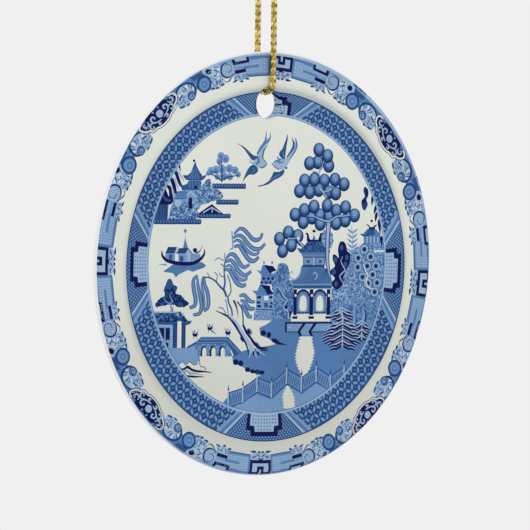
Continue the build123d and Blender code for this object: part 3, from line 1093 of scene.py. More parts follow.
def draw_willow(pen):
    """The willow, its hanging leaves first, then branches, trunk and roots."""
    for width, line in (
        (0.72, [
            (-7.1, 5.6), (-6.0, 6.5), (-5.0, 6.4), (-4.0, 5.6), (-3.1, 4.8), (-2.2, 4.6), (-1.4, 4.9),
            (-0.9, 5.8),
        ]),
        (0.74, [
            (-7.4, 4.9), (-6.2, 5.4), (-5.2, 5.1), (-4.2, 4.1), (-3.2, 3.3), (-2.2, 3.0), (-1.2, 3.2),
            (-0.3, 4.0),
        ]),
        (0.62, [
            (-7.3, 4.2), (-6.3, 4.6), (-5.3, 4.0), (-4.3, 2.9), (-3.4, 2.3), (-2.4, 2.1), (-1.5, 2.5),
        ]),
        (0.8, [
            (-7.1, 3.4), (-6.1, 3.6), (-5.2, 2.8), (-4.4, 1.8), (-3.5, 1.1), (-2.6, 1.0), (-1.6, 1.7),
        ]),
        (0.74, [
            (-8.8, 1.4), (-7.9, 2.1), (-7.0, 2.0), (-6.2, 1.2), (-5.5, 0.3), (-4.7, -0.1), (-3.6, 0.4),
        ]),
        (0.8, [
            (-8.9, 0.8), (-7.8, 1.1), (-6.9, 0.5), (-6.2, -0.5), (-5.4, -1.2), (-4.5, -1.5), (-3.2, -0.8),
        ]),
        (0.6, [
            (-8.9, 0.0), (-7.9, 0.2), (-7.2, -0.6), (-6.5, -1.5), (-5.6, -2.2), (-4.6, -2.3),
            (-4.0, -1.9),
        ]),
        (0.8, [
            (-9.0, -0.5), (-8.1, -0.6), (-7.3, -1.5), (-6.6, -2.5), (-5.8, -3.1), (-5.0, -3.3),
            (-4.3, -3.0),
        ]),
        (0.8, [(-14.8, -1.5), (-15.7, -2.3), (-15.6, -4.0), (-15.2, -5.6), (-15.4, -6.7), (-16.5, -7.1)]),
        (0.74, [
            (-14.9, -1.9), (-14.7, -3.4), (-14.2, -5.2), (-13.9, -7.0), (-14.4, -8.1), (-15.7, -8.3),
        ]),
        (0.5, [(-13.8, -1.9), (-13.9, -3.2), (-13.5, -5.0), (-13.3, -6.5), (-13.5, -7.6)]),
        (0.76, [
            (-13.4, -1.9), (-13.3, -3.0), (-12.7, -4.4), (-12.4, -6.0), (-12.6, -7.1), (-13.4, -7.7),
        ]),
        (0.7, [(-5.8, -5.1), (-4.8, -4.9), (-4.0, -5.5), (-3.3, -6.0), (-2.3, -6.1)]),
        (0.76, [(-5.5, -5.8), (-4.6, -6.1), (-3.9, -6.9), (-3.2, -7.3), (-2.3, -7.2)]),
        (0.74, [(-5.3, -6.5), (-4.6, -7.2), (-4.1, -8.0), (-3.6, -8.6), (-2.9, -8.7)]),
    ):
        ribbon(pen, line, width)
    pen.lines(
        ("light", 8, 0.3, [(-7.6, 6.2), (-7.4, 4.6), (-7.4, 3.2), (-7.9, 3.0)]),
        ("light", 8, 0.24, [(-11.2, 1.1), (-10.3, 1.5), (-9.3, 1.1), (-9.0, 2.4)]),
        ("strong", 8, (0.4, 0.4, 0.3, 0.26), [
            (-8.5, -5.2), (-9.0, -4.2), (-10.0, -3.4), (-11.0, -2.5), (-12.3, -1.9), (-13.8, -1.8),
        ]),
        ("strong", 8, (0.4, 0.4, 0.3, 0.24), [
            (-8.6, -5.1), (-9.1, -3.9), (-8.9, -2.7), (-9.1, -1.2), (-9.1, 0.2), (-8.8, 1.4),
        ]),
        ("strong", 8, 0.24, [(-8.2, -5.2), (-7.6, -4.3), (-7.8, -2.8), (-8.4, -1.4)]),
        ("mid", 8, 0.22, [(-10.8, -2.6), (-10.6, -1.6), (-11.2, -0.9)]),
        ("mid", 8, 0.18, [(-12.2, -1.9), (-12.8, -1.0)]),
        ("mid", 8, 0.22, [(-9.2, -1.8), (-9.9, -1.5), (-10.2, -1.0)]),
        ("strong", 8, 0.2, [(-9.1, 0.0), (-9.9, 0.5)]),
        ("strong", 8, 0.34, [(-8.3, -5.1), (-8.0, -6.3), (-7.4, -7.4), (-7.2, -8.5)]),
        ("mid", 8, 0.22, [(-8.8, -5.6), (-8.5, -6.4), (-8.2, -7.6), (-8.1, -8.6)]),
        ("navy", 8, (0.4, 0.34, 0.3, 0.16), [
            (-7.0, -5.8), (-6.4, -6.8), (-6.1, -8.2), (-5.9, -9.1), (-5.3, -9.9),
        ]),
        ("strong", 8, 0.3, [(-6.2, -6.0), (-5.2, -7.2), (-4.9, -8.7), (-4.8, -10.2)]),
        ("navy", 8, (0.12, 0.3, 0.42, 0.5, 0.46, 0.4, 0.3), [
            (-10.8, -7.6), (-9.4, -8.1), (-8.2, -8.6), (-7.3, -9.3), (-6.4, -10.3), (-5.4, -11.6),
            (-4.4, -12.9), (-3.7, -14.3),
        ]),
        ("mid", 8, 0.2, [(-10.2, -7.1), (-9.3, -7.2), (-8.6, -8.2)]),
        ("pale", 9, (0.35, 0.5, 0.6, 0.8, 1.1), [
            (-8.0, -8.4), (-6.4, -9.6), (-5.3, -11.0), (-4.1, -12.5), (-3.1, -13.8), (-2.6, -14.7),
        ]),
        ("cream", 9, (0.1, 0.3, 0.3, 0.2), [
            (-6.5, -7.0), (-6.0, -8.8), (-5.3, -9.9), (-4.6, -11.0), (-3.4, -12.4),
        ]),
        ("navy", 10, (0.4, 0.55, 0.45, 0.6, 0.5, 0.2), [
            (-4.9, -10.0), (-4.1, -11.3), (-3.1, -12.4), (-2.3, -13.3), (-1.2, -14.0), (0.6, -14.1),
        ]),
    )
    for x, z, turn in ((-5.0, -12.5, 0.9), (-3.5, -11.2, 0.8), (-1.9, -13.5, 0.5)):
        pen.dot("light", (x + 0.1, z), 0.75, 0.45, -turn, up=8)
        pen.dot("navy", (x, z), 0.5, 0.28, -turn, up=9)
    pen.lines(
        ("pale", 11, (0.5, 0.3, 0.1), [(-3.1, -14.2), (-3.2, -15.0), (-3.5, -15.7)]),
        ("pale", 11, (0.5, 0.3, 0.1), [(-2.6, -14.3), (-2.2, -15.0), (-1.6, -15.9)]),
        ("pale", 11, (0.4, 0.22, 0.08), [(-1.9, -14.2), (-1.0, -14.8), (0.2, -15.4)]),
        ("navy", 11, (0.4, 0.3), [(-2.5, -14.6), (-2.4, -15.4)]),
        ("navy", 11, (0.5, 0.3), [(-1.6, -14.7), (-1.4, -15.3)]),
        ("navy", 11, (0.3, 0.2), [(-0.9, -14.4), (0.6, -14.5)]),
        ("deep", 11, (0.4, 0.2), [(-3.7, -14.4), (-3.5, -15.3)]),
    )


def draw_ground(pen):
    """The shore and the water below it, with stones and white reflections."""
    pen.fill("mid", [
        (-1.3, -10.6), (0.2, -10.0), (1.3, -9.4), (2.4, -8.6), (4.4, -9.0), (12.0, -9.0), (14.0, -6.0),
        (25.5, -6.0), (24.0, -11.0), (18.5, -18.5), (9.0, -24.6), (0.0, -25.9), (-9.5, -24.0),
        (-8.0, -22.6), (-4.6, -20.8), (-1.6, -19.2), (-0.9, -18.8), (-3.4, -18.2), (-4.4, -17.5),
        (-6.9, -16.6), (-7.1, -15.4), (-5.2, -14.7), (-3.8, -14.3), (-0.6, -13.9), (0.8, -13.7),
        (2.3, -13.4), (0.6, -12.4), (-1.0, -11.9),
    ], up=1)
    pen.fill("light", [
        (-6.5, -24.2), (-1.6, -22.1), (1.6, -23.0), (4.9, -20.6), (8.2, -22.2), (11.3, -20.3),
        (14.2, -21.4), (12.0, -23.0), (5.0, -25.6), (-2.0, -25.8),
    ], up=2)
    for x, z, rx, rz in (
        (-0.4, -11.5, 0.62, 0.5), (0.8, -11.8, 0.5, 0.5), (-6.3, -16.5, 0.62, 0.52),
        (-5.2, -16.7, 0.55, 0.52), (-3.7, -17.8, 0.6, 0.42), (-2.6, -18.1, 0.55, 0.38),
        (-1.6, -18.2, 0.5, 0.42), (-0.6, -18.3, 0.6, 0.36),
    ):
        pen.dot("navy", (x, z), rx, rz, points=14, up=3)
    pen.fill("navy", [
        (1.4, -12.4), (2.4, -12.5), (3.2, -13.1), (5.0, -13.6), (3.0, -13.5), (1.6, -13.1),
    ], up=3)
    left = [(7.7, -12.1), (7.3, -13.4), (6.9, -14.8), (6.8, -16.2), (7.4, -17.6), (8.4, -19.1)]
    right = [(10.1, -12.1), (10.3, -13.4), (10.7, -14.8), (10.4, -16.2), (9.8, -17.6), (8.8, -19.1)]
    zigzag_patch(pen, left, right, 13)
    left = [(5.0, -20.6), (4.4, -21.6), (4.1, -22.6), (4.3, -23.6), (4.4, -24.6)]
    right = [(5.1, -20.6), (5.9, -21.6), (6.4, -22.6), (6.5, -23.6), (6.7, -24.6)]
    zigzag_patch(pen, left, right, 7)
    for x, z, w in (
        (-5.6, -15.3, 2.2), (0.5, -16.6, 2.6), (2.8, -18.4, 2.0), (13.6, -16.4, 3.0), (12.6, -14.7, 2.2),
        (3.9, -15.2, 1.6),
    ):
        pen.line("strong", [(x, z), (x + w, z - 0.06)], (0.03, 0.09, 0.03), up=3)


def zigzag_patch(pen, left, right, teeth):
    """A white patch with saw-toothed sides."""
    heights = np.linspace(left[0][1], left[-1][1], 2 * teeth + 1)
    sides = []
    for side, out in ((left, -0.3), (right, 0.3)):
        zs = [-p[1] for p in side]
        xs = [p[0] for p in side]
        row = [
            (float(np.interp(-z, zs, xs)) + (out if k % 2 else -out * 0.3), float(z))
            for k, z in enumerate(heights)
        ]
        sides.append(row)
    pen.fill("cream", sides[0] + sides[1][::-1], up=3)


def draw_fence(pen):
    """The zigzag fence, panel by panel, with its posts in front."""
    posts = (
        (-7.8, -21.6), (-4.65, -20.8), (-1.6, -19.0), (1.6, -20.0), (4.85, -17.6), (8.1, -19.0),
        (11.3, -17.3), (14.4, -18.9), (17.4, -17.2),
    )
    tall = 2.7
    for (x0, z0), (x1, z1) in zip(posts, posts[1:]):
        top, low = [(x0, z0 - 0.2), (x1, z1 - 0.2)], [(x1, z1 - tall), (x0, z0 - tall)]
        pen.fill("mid", top + low, up=4)
        for k in range(6):
            a, b = k / 6, (k + 1) / 6
            for start, stop, ink in ((0, 1, "light"), (1, 0, "strong")):
                foot = (x0 + (x1 - x0) * a, z0 + (z1 - z0) * a - 0.5 - (tall - 0.8) * start)
                head = (x0 + (x1 - x0) * b, z0 + (z1 - z0) * b - 0.5 - (tall - 0.8) * stop)
                pen.line(ink, [foot, head], 0.13, up=5)
        for share, ink, width in (
            (0.2, "deep", 0.16),
            (0.55, "light", 0.12),
            (tall - 0.25, "light", 0.12),
            (tall, "deep", 0.16),
        ):
            pen.line(ink, [(x0, z0 - share), (x1, z1 - share)], width, up=6)
    for x, z in posts:
        box(pen, "deep", x - 0.1, x + 0.3, z - tall - 0.1, z, 7)
        box(pen, "pale", x - 0.18, x + 0.12, z - tall, z + 0.05, 8)
        pen.dot("strong", (x, z + 0.45), 0.2, 0.3, points=8, up=8)
        pen.dot("strong", (x, z + 0.9), 0.1, 0.22, points=6, up=8)


def draw_bridge(pen):
    """The bridge of three arches, with three plain figures, and the rocks beneath it."""
    pen.fill("light", [
        (-22.5, -14.0), (-17.0, -14.0), (-15.2, -13.4), (-14.4, -15.0), (-14.2, -16.2), (-15.0, -16.9),
        (-16.3, -16.4), (-17.0, -16.8), (-17.8, -16.4), (-18.6, -17.0), (-20.5, -16.5),
    ], up=1)
    pen.line("strong", [
        (-14.3, -15.3), (-14.1, -16.6), (-13.9, -17.2), (-13.2, -17.3), (-12.7, -17.8),
    ], 0.16, up=2)
    pen.line("mid", [
        (-19.0, -16.9), (-17.8, -16.4), (-17.1, -16.9), (-16.3, -16.4), (-15.4, -16.9), (-14.4, -16.7),
    ], 0.2, up=2)
    wall = [(-15.3, -13.0), (-8.3, -13.0), (-7.0, -15.5), (-8.5, -15.5), (-14.4, -15.4), (-14.9, -14.6)]
    pen.fill("mid", wall, up=2)
    speckle(pen, wall, ("pale", "light", "strong"), 0.34, 0.14, 3, 8)
    for x in (-13.15, -11.15, -9.15):
        pen.fill("cream", [
            (x - 0.42, -15.7), (x + 0.42, -15.7), (x + 0.42, -14.4), (x + 0.25, -14.05),
            (x - 0.1, -13.95), (x - 0.42, -14.3),
        ], up=4)
        pen.line("navy", [
            (x - 0.62, -15.5), (x - 0.6, -14.4), (x - 0.25, -13.85), (x + 0.35, -13.9),
        ], (0.36, 0.36, 0.3, 0.12), up=5)
    pen.fill("strong", [
        (-14.7, -12.8), (-13.9, -12.1), (-8.1, -12.1), (-7.4, -12.7), (-5.1, -14.7), (-6.6, -15.6),
        (-7.2, -14.6), (-8.5, -13.3), (-14.7, -13.3), (-16.8, -14.1), (-17.0, -13.8),
    ], up=6)
    pen.line("mid", [(-14.2, -12.55), (-8.3, -12.55), (-5.6, -14.8)], 0.34, rounded=False, up=7)
    pen.line("light", [(-14.9, -13.1), (-8.5, -13.1), (-7.4, -14.4)], 0.12, rounded=False, up=7)
    pen.line("light", [
        (-16.9, -13.8), (-14.7, -12.8), (-13.9, -12.15), (-8.0, -12.15),
    ], 0.12, rounded=False, up=7)
    for x, z, lean in ((-15.2, -11.7, 0.0), (-12.0, -10.6, 0.15), (-8.1, -11.4, -0.1)):
        pen.dot("navy", (x, z), 0.6, 0.38, lean, points=14, up=8)
        pen.dot("pale", (x, z + 0.28), 0.3, 0.16, lean, up=9)
        pen.dot("strong", (x - 0.15, z + 0.55), 0.16, 0.18, up=9)
        for dx in (-0.75, 0.7):
            pen.line("mid", [(x + dx * 0.5, z + 0.1), (x + dx, z + 0.85)], (0.22, 0.08), up=7)
        for dx in (-0.2, 0.25):
            pen.line("mid", [(x + dx, z - 0.3), (x + dx * 2, z - 0.85)], (0.2, 0.1), up=7)
    pen.line("mid", [(-11.6, -11.0), (-10.6, -11.7)], (0.3, 0.1), up=7)
    pen.lines(
        ("navy", 3, (0.25, 0.5, 0.4, 0.12), [
            (-18.6, -17.4), (-17.6, -17.7), (-16.7, -17.3), (-15.7, -17.8), (-14.4, -18.05),
            (-13.0, -18.1), (-11.5, -18.3),
        ]),
        ("light", 3, (0.3, 0.36, 0.1), [
            (-17.6, -18.3), (-16.8, -17.95), (-16.2, -18.4), (-15.2, -18.4), (-13.4, -18.7),
        ]),
        ("navy", 3, (0.3, 0.36, 0.12), [(-17.3, -18.8), (-15.5, -18.95), (-13.2, -19.0)]),
    )


def draw_gatehouse(pen):
    """The small house at the lower left, under a dark tree."""
    box(pen, "pale", -24.6, -18.2, -7.95, -7.7, 3)
    crown = [
        (-23.8, -6.9), (-23.6, -6.2), (-22.6, -5.3), (-21.9, -5.0), (-22.0, -3.7), (-21.5, -3.0),
        (-21.2, -2.3), (-20.6, -2.2), (-20.2, -3.0), (-19.2, -3.5), (-19.5, -4.6), (-18.4, -4.9),
        (-17.9, -5.5), (-16.6, -6.3), (-17.6, -6.9), (-18.8, -6.9), (-20.3, -6.4), (-22.0, -6.7),
    ]
    pen.fill("deep", crown, rounded=True, up=4)
    speckle(pen, crown, ("navy", "strong", "navy"), 0.46, 0.28, 5, 4)
    pen.fill("strong", [
        (-21.8, -3.6), (-21.2, -2.2), (-20.5, -2.2), (-20.1, -3.2), (-20.8, -3.9),
    ], rounded=True, up=6)
    pen.line("light", [
        (-20.4, -7.8), (-20.6, -6.6), (-21.5, -6.0), (-22.1, -5.3),
    ], (0.4, 0.3, 0.2, 0.1), up=7)
    pen.line("light", [(-20.7, -6.5), (-20.2, -5.9), (-20.8, -5.0), (-20.2, -4.3)], (0.3, 0.2, 0.1), up=7)
    box(pen, "deep", -20.2, -20.0, -7.7, -6.9, 7)
    pen.fill("light", [(-24.5, -9.8), (-20.0, -9.8), (-20.0, -14.1), (-22.5, -14.1)], up=3)
    pen.fill("strong", [
        (-24.8, -7.95), (-19.4, -7.95), (-18.5, -7.75), (-17.9, -8.2), (-17.2, -8.95), (-16.7, -9.35),
        (-15.9, -9.3), (-16.3, -9.9), (-17.2, -10.1), (-24.5, -9.9),
    ], up=5)
    speckle(pen, [
        (-24.6, -8.1), (-17.6, -8.2), (-17.2, -9.6), (-24.4, -9.8),
    ], ("deep", "navy", "deep", "mid"), 0.4, 0.22, 6, 6, 1.5)
    for x in (-19.0, -17.9):
        pen.dot("pale", (x, -8.25), 0.22, 0.3, up=7)
    for x, width, ink in ((-20.0, 0.95, "deep"), (-18.15, 0.9, "deep")):
        box(pen, ink, x, x + width, -14.0, -9.8, 6)
        for z in np.arange(-13.7, -10.0, 0.5):
            pen.dot("strong", (x + width / 2, z), 0.2, 0.16, up=7)
    box(pen, "cream", -19.03, -18.17, -13.5, -9.4, 7)
    for x0, x1, low in ((-23.6, -21.85, -12.5), (-21.55, -20.65, -12.6), (-21.6, -20.95, -13.9)):
        box(pen, "navy", x0, x1, low, -10.55 if low > -13 else -13.1, 5)
    for k in range(8):
        pen.dot("pale", (-20.3, -10.5 - 0.45 * k), 0.2, 0.17, points=8, up=6)
        pen.dot("pale", (-23.2 + 0.4 * k, -10.2), 0.17, 0.17, points=8, up=6)


def draw_small_pagoda(pen):
    """The small pagoda to the left of the tea house, with trees behind."""
    woods = [
        (1.4, -9.2), (2.6, -8.9), (4.9, -9.2), (6.0, -7.8), (6.0, -3.6), (5.2, -2.6), (5.0, -1.0),
        (4.6, 0.2), (3.8, 0.6), (2.7, 0.4), (2.3, -0.8), (1.5, -1.3), (1.2, -3.0), (1.6, -5.0),
    ]
    pen.fill("mid", woods, rounded=True, up=2)
    speckle(pen, woods, ("strong", "light", "strong", "light"), 0.33, 0.17, 3, 9, 1.3)
    pen.lines(
        ("deep", 4, 0.34, [
            (2.4, -3.7), (3.2, -4.5), (3.8, -5.3), (4.8, -6.0), (4.0, -7.0), (4.6, -7.8), (5.2, -8.9),
        ]),
        ("pale", 5, (0.14, 0.24, 0.28), [
            (2.3, -3.4), (3.4, -4.4), (3.9, -5.2), (4.7, -5.8), (3.9, -6.9), (4.3, -7.5), (4.9, -7.8),
            (5.0, -9.0),
        ]),
        ("pale", 5, (0.2, 0.08), [(3.6, -4.7), (4.0, -4.0), (4.6, -3.5)]),
    )
    pen.dot("navy", (4.5, -7.0), 0.4, 0.24, up=4)
    pen.dot("navy", (5.3, -8.1), 0.3, 0.5, up=4)
    platform = [(-2.6, -9.3), (1.6, -9.3), (1.8, -7.6), (-2.4, -7.6)]
    pen.fill("light", platform, up=2)
    speckle(pen, platform, ("mid", "strong", "pale"), 0.3, 0.13, 3, 2)
    pen.fills(
        ("mid", 2, [(-1.2, -3.1), (1.6, -3.1), (1.8, -1.2), (-1.0, -1.2)]),
        ("light", 3, [(-2.1, -7.4), (1.5, -7.4), (1.5, -4.7), (-2.1, -4.7)]),
        ("mid", 4, [(-0.8, 0.3), (0.2, 0.3), (1.2, -1.3), (-1.1, -1.4), (-2.2, -0.5), (-1.2, -0.8)]),
        ("navy", 5, [(-0.5, 0.3), (1.5, 0.1), (2.3, -0.7), (1.4, -0.9), (1.0, -1.3), (0.2, -0.5)]),
        ("mid", 4, [(-1.3, -3.1), (0.0, -3.6), (0.6, -5.0), (-2.0, -5.0), (-3.0, -4.1), (-1.9, -4.2)]),
        ("navy", 5, [(-1.3, -3.1), (0.9, -3.3), (1.0, -3.9), (1.7, -4.7), (0.4, -4.9), (-0.2, -4.0)]),
    )
    for x in (-0.5, 0.5, 1.45):
        pen.dot("navy", (x, -2.05), 0.27, 0.26, up=5)
        pen.dot("navy", (x - 0.5, -2.75), 0.27, 0.22, up=5)
    for x, z, w in (
        (-1.9, -5.3, 0.9), (-1.9, -6.2, 0.7), (-1.9, -6.85, 0.9), (0.8, -5.3, 0.7), (1.0, -6.3, 0.5),
        (0.8, -6.9, 0.6),
    ):
        box(pen, "navy", x, x + w, z - 0.2, z + 0.2, 5)
    box(pen, "cream", -0.35, 0.55, -5.8, -5.05, 5)
    box(pen, "strong", -0.35, 0.5, -7.1, -6.2, 5)
    pen.line("deep", [(-2.2, -7.45), (1.6, -7.5)], 0.2, up=6)
    for x in (-0.5, 1.3):
        pen.dot("light", (x, 0.7), 0.26, 0.3, up=3)


def draw_teahouse(pen):
    """The tea house: horned roof, upper storey, lower roof, arches, steps."""
    leafy = ellipse((13.1, 4.7), 1.5, 1.8)
    pen.fill("pale", leafy, up=2)
    speckle(pen, leafy, ("mid", "light", "mid"), 0.36, 0.2, 3, 12, 1.4)
    centre = 10.35
    for side in (-1, 1):
        horn = [
            (1.9, 5.75), (1.4, 5.85), (1.1, 5.2), (0.9, 4.7), (0.9, 4.4), (1.5, 4.35), (1.6, 4.9),
            (1.6, 5.4),
        ]
        pen.fill("navy", [(centre + side * x, z) for x, z in horn], rounded=True, up=6)
    box(pen, "navy", 8.9, 11.9, 4.35, 4.68, 6)
    pen.fills(
        ("navy", 6, [(9.85, 6.15), (10.3, 6.5), (10.75, 6.1), (10.3, 5.85)]),
        ("mid", 5, [(9.9, 4.6), (10.3, 5.6), (10.75, 4.6)]),
        ("strong", 5, [
            (9.1, 4.45), (11.9, 4.45), (12.5, 3.6), (13.2, 3.1), (13.9, 2.9), (13.8, 2.3), (12.6, 2.0),
            (8.0, 2.0), (7.2, 2.5), (6.6, 3.3), (7.5, 3.1), (8.2, 3.6),
        ]),
    )
    speckle(pen, [
        (9.1, 4.3), (11.8, 4.3), (12.8, 2.7), (7.6, 2.7), (8.4, 3.5),
    ], ("deep", "mid", "deep"), 0.36, 0.16, 6, 7, 1.3)
    box(pen, "mid", 7.7, 13.0, 1.85, 2.45, 6)
    pen.line("deep", [(7.9, 1.7), (12.9, 1.7)], 0.22, up=7)
    box(pen, "mid", 8.0, 12.9, 0.2, 1.65, 4)
    for x in (8.25, 10.85):
        box(pen, "light", x, x + 1.75, 0.45, 1.5, 5)
        pen.dot("strong", (x + 0.9, 0.9), 0.34, 0.3, up=6)
    box(pen, "pale", 10.15, 10.55, 0.25, 1.7, 6)
    box(pen, "navy", 7.8, 12.7, -0.02, 0.22, 6)
    pen.fill("mid", [
        (7.7, 0.0), (12.7, 0.0), (13.4, -1.0), (14.4, -2.4), (14.6, -3.2), (6.0, -3.2), (5.1, -2.4),
        (6.3, -2.3), (7.2, -1.6), (7.6, -0.7),
    ], up=5)
    for k in range(16):
        x = 6.2 + 0.5 * k
        top = (min(x + 1.9, 12.6 + k * 0.05), -0.3) if x > 7.2 else (x + 0.7, -2.1)
        pen.line("strong", [(x, -2.95), top], 0.14, up=6)
    pen.line("pale", [
        (5.9, -1.3), (5.6, -0.85), (5.1, -1.2), (5.3, -1.9), (6.0, -2.2), (6.8, -1.9), (7.4, -1.1),
        (7.6, -0.1),
    ], (0.16, 0.3, 0.3, 0.16), up=7)
    pen.line("pale", [
        (10.2, -1.4), (10.6, -1.0), (11.1, -1.4), (11.0, -2.0), (10.5, -2.2),
    ], (0.1, 0.24, 0.24, 0.1), up=7)
    boxes(
        pen,
        ("light", 7, 5.7, 14.4, -3.25, -3.0),
        ("strong", 7, 5.9, 14.4, -3.75, -3.25),
        ("pale", 7, 5.8, 14.4, -3.95, -3.75),
        ("cream", 4, 5.6, 14.2, -9.5, -8.2),
    )
    for left in (6.75, 10.4):
        arch = [(0, -8.2), (2.85, -8.2), (2.85, -5.2), (2.5, -4.5), (1.4, -4.0), (0.35, -4.5), (0, -5.2)]
        pen.fill("mid", [(left + x, z) for x, z in arch], up=5)
        window = [(0.75, -7.5), (2.05, -7.5), (2.05, -5.6), (1.4, -5.0), (0.75, -5.6)]
        pen.fill(
            "light",
            [(left + 1.4 + (x - 1.4) * 1.35, -6.3 + (z + 6.3) * 1.25) for x, z in window],
            rounded=True,
            up=6,
        )
        pen.fill("cream", [(left + x, z) for x, z in window], rounded=True, up=7)
        pen.line("navy", [
            (left, -5.1), (left + 0.5, -4.4), (left + 1.4, -4.1), (left + 2.3, -4.4), (left + 2.85, -5.1),
        ], 0.36, up=7)
        for k in range(5):
            pen.dot("navy", (left + 0.4 + 0.52 * k, -7.95), 0.2, 0.16, points=8, up=7)
    for left, width in ((6.05, 0.72), (9.55, 0.82), (13.3, 0.8)):
        box(pen, "navy", left, left + width, -8.4, -3.95, 8)
        pen.dot("cream", (left + width / 2 + 0.1, -5.0), 0.25, 0.25, points=10, up=9)
        box(pen, "navy", left - 0.2, left + width + 0.2, -9.05, -8.6, 8)
    box(pen, "navy", 4.4, 14.4, -9.9, -9.6, 8)
    box(pen, "light", 4.7, 14.2, -11.3, -9.9, 6)
    speckle(pen, [
        (4.8, -11.1), (14.1, -11.1), (14.1, -10.0), (4.8, -10.0),
    ], ("pale", "mid"), 0.24, 0.08, 7, 11)
    box(pen, "navy", 4.3, 4.7, -11.3, -9.6, 8)
    box(pen, "strong", 4.4, 14.0, -11.45, -11.2, 7)
    pen.fill("light", [(7.4, -11.9), (10.0, -11.9), (10.4, -10.0), (8.2, -10.0), (7.2, -11.2)], up=8)
    for x in (7.0, 9.4):
        pen.fill("navy", [
            (x + 1.1, -9.9), (x + 1.8, -9.9), (x + 0.65, -11.2), (x + 1.0, -12.0), (x + 0.45, -12.0),
            (x, -11.25),
        ], up=9)


def draw_fruit_tree(pen):
    """The tall tree of round fruit. Each fruit is (x, z, level)."""
    pen.lines(
        ("deep", 8, (1.2, 0.95, 0.9, 0.8, 0.5), [
            (13.5, 7.8), (13.3, 5.0), (13.3, 2.6), (13.4, 0.4), (14.1, -2.2),
        ]),
        ("pale", 9, (0.75, 0.55, 0.5, 0.4, 0.2), [
            (13.5, 8.0), (13.3, 5.0), (13.3, 2.6), (13.4, 0.4), (14.0, -2.0),
        ]),
        ("deep", 8, (0.3, 0.7, 0.5), [(6.3, 4.5), (7.2, 4.0), (8.4, 3.3)]),
        ("pale", 9, (0.1, 0.3, 0.2), [(6.6, 4.9), (7.4, 4.0), (8.1, 3.4)]),
    )
    for x, z, level in (
        (10.9, 18.1, 0), (13.3, 17.5, 0), (9.1, 17.9, 1), (11.1, 20.25, 1), (13.0, 19.2, 2),
        (11.2, 13.3, 0), (13.4, 12.9, 0), (8.1, 14.9, 0), (12.4, 14.9, 0), (10.2, 15.1, 1),
        (14.7, 15.1, 1), (16.7, 14.3, 2), (7.0, 13.1, 1), (9.2, 12.9, 2), (14.9, 12.7, 2), (9.8, 8.5, 0),
        (13.5, 8.7, 0), (11.5, 8.9, 1), (8.1, 9.8, 1), (10.2, 10.4, 2), (13.1, 10.6, 2), (15.1, 9.7, 1),
        (17.1, 10.3, 2), (6.1, 9.0, 2), (19.1, 8.9, 2), (17.1, 8.0, 0), (15.1, 7.5, 1), (7.9, 7.7, 0),
        (11.6, 7.4, 2), (5.4, 3.7, 1), (2.8, 4.8, 1), (3.5, 2.7, 0), (6.8, 5.3, 0), (4.7, 5.9, 2),
    ):
        ball(pen, x, z, level)
    for line in (
        [(13.4, 7.8), (12.4, 8.0), (11.3, 8.3), (10.2, 8.7), (8.6, 8.8)],
        [(13.5, 7.8), (14.4, 8.3), (15.3, 8.75), (17.0, 8.8), (18.2, 8.95)],
        [(13.0, 12.0), (12.2, 12.8), (11.3, 13.6), (11.0, 14.2)],
        [(11.2, 13.7), (12.3, 13.0), (13.6, 13.2), (14.2, 13.7)],
        [(11.2, 15.9), (11.3, 16.8), (11.9, 17.5), (11.5, 18.6)],
        [(9.8, 16.6), (10.7, 16.4), (11.2, 16.0)],
        [(4.6, 4.9), (5.6, 4.85), (6.8, 4.9)],
    ):
        pen.line("deep", [(x, z - 0.14) for x, z in line], 0.3, up=20)
        pen.line("pale", line, (0.28, 0.2, 0.1), up=21)
    pen.dot("cream", (6.9, 4.9), 0.3, 0.28, up=22)


def spruce(pen, x, top, rows, grow, drop):
    """A fir of stacked wavy boughs, light on dark."""
    for k in range(rows):
        half = grow * (0.35 + 0.65 * sin(pi * min((k + 1.2) / rows, 0.86)))
        z = top - k * 0.5
        shape = ((1.0, 1.0), (0.72, 0.62), (0.5, 0.56), (0.25, 0.2))
        line = [(x - half * a, z - drop * half * b) for a, b in shape] + [(x, z + 0.1)]
        line += [(x + half * a, z - drop * half * b) for a, b in reversed(shape)]
        pen.line("navy", [(a, b - 0.12) for a, b in line], (0.2, 0.6, 0.6, 0.6, 0.2), up=8 + k % 2 * 2)
        pen.line("pale", [(a, b + 0.12) for a, b in line], (0.08, 0.24, 0.24, 0.24, 0.08), up=9 + k % 2 * 2)
    pen.line("pale", [(x, top + 0.2), (x, top - rows * 0.5)], (0.1, 0.26), up=12)


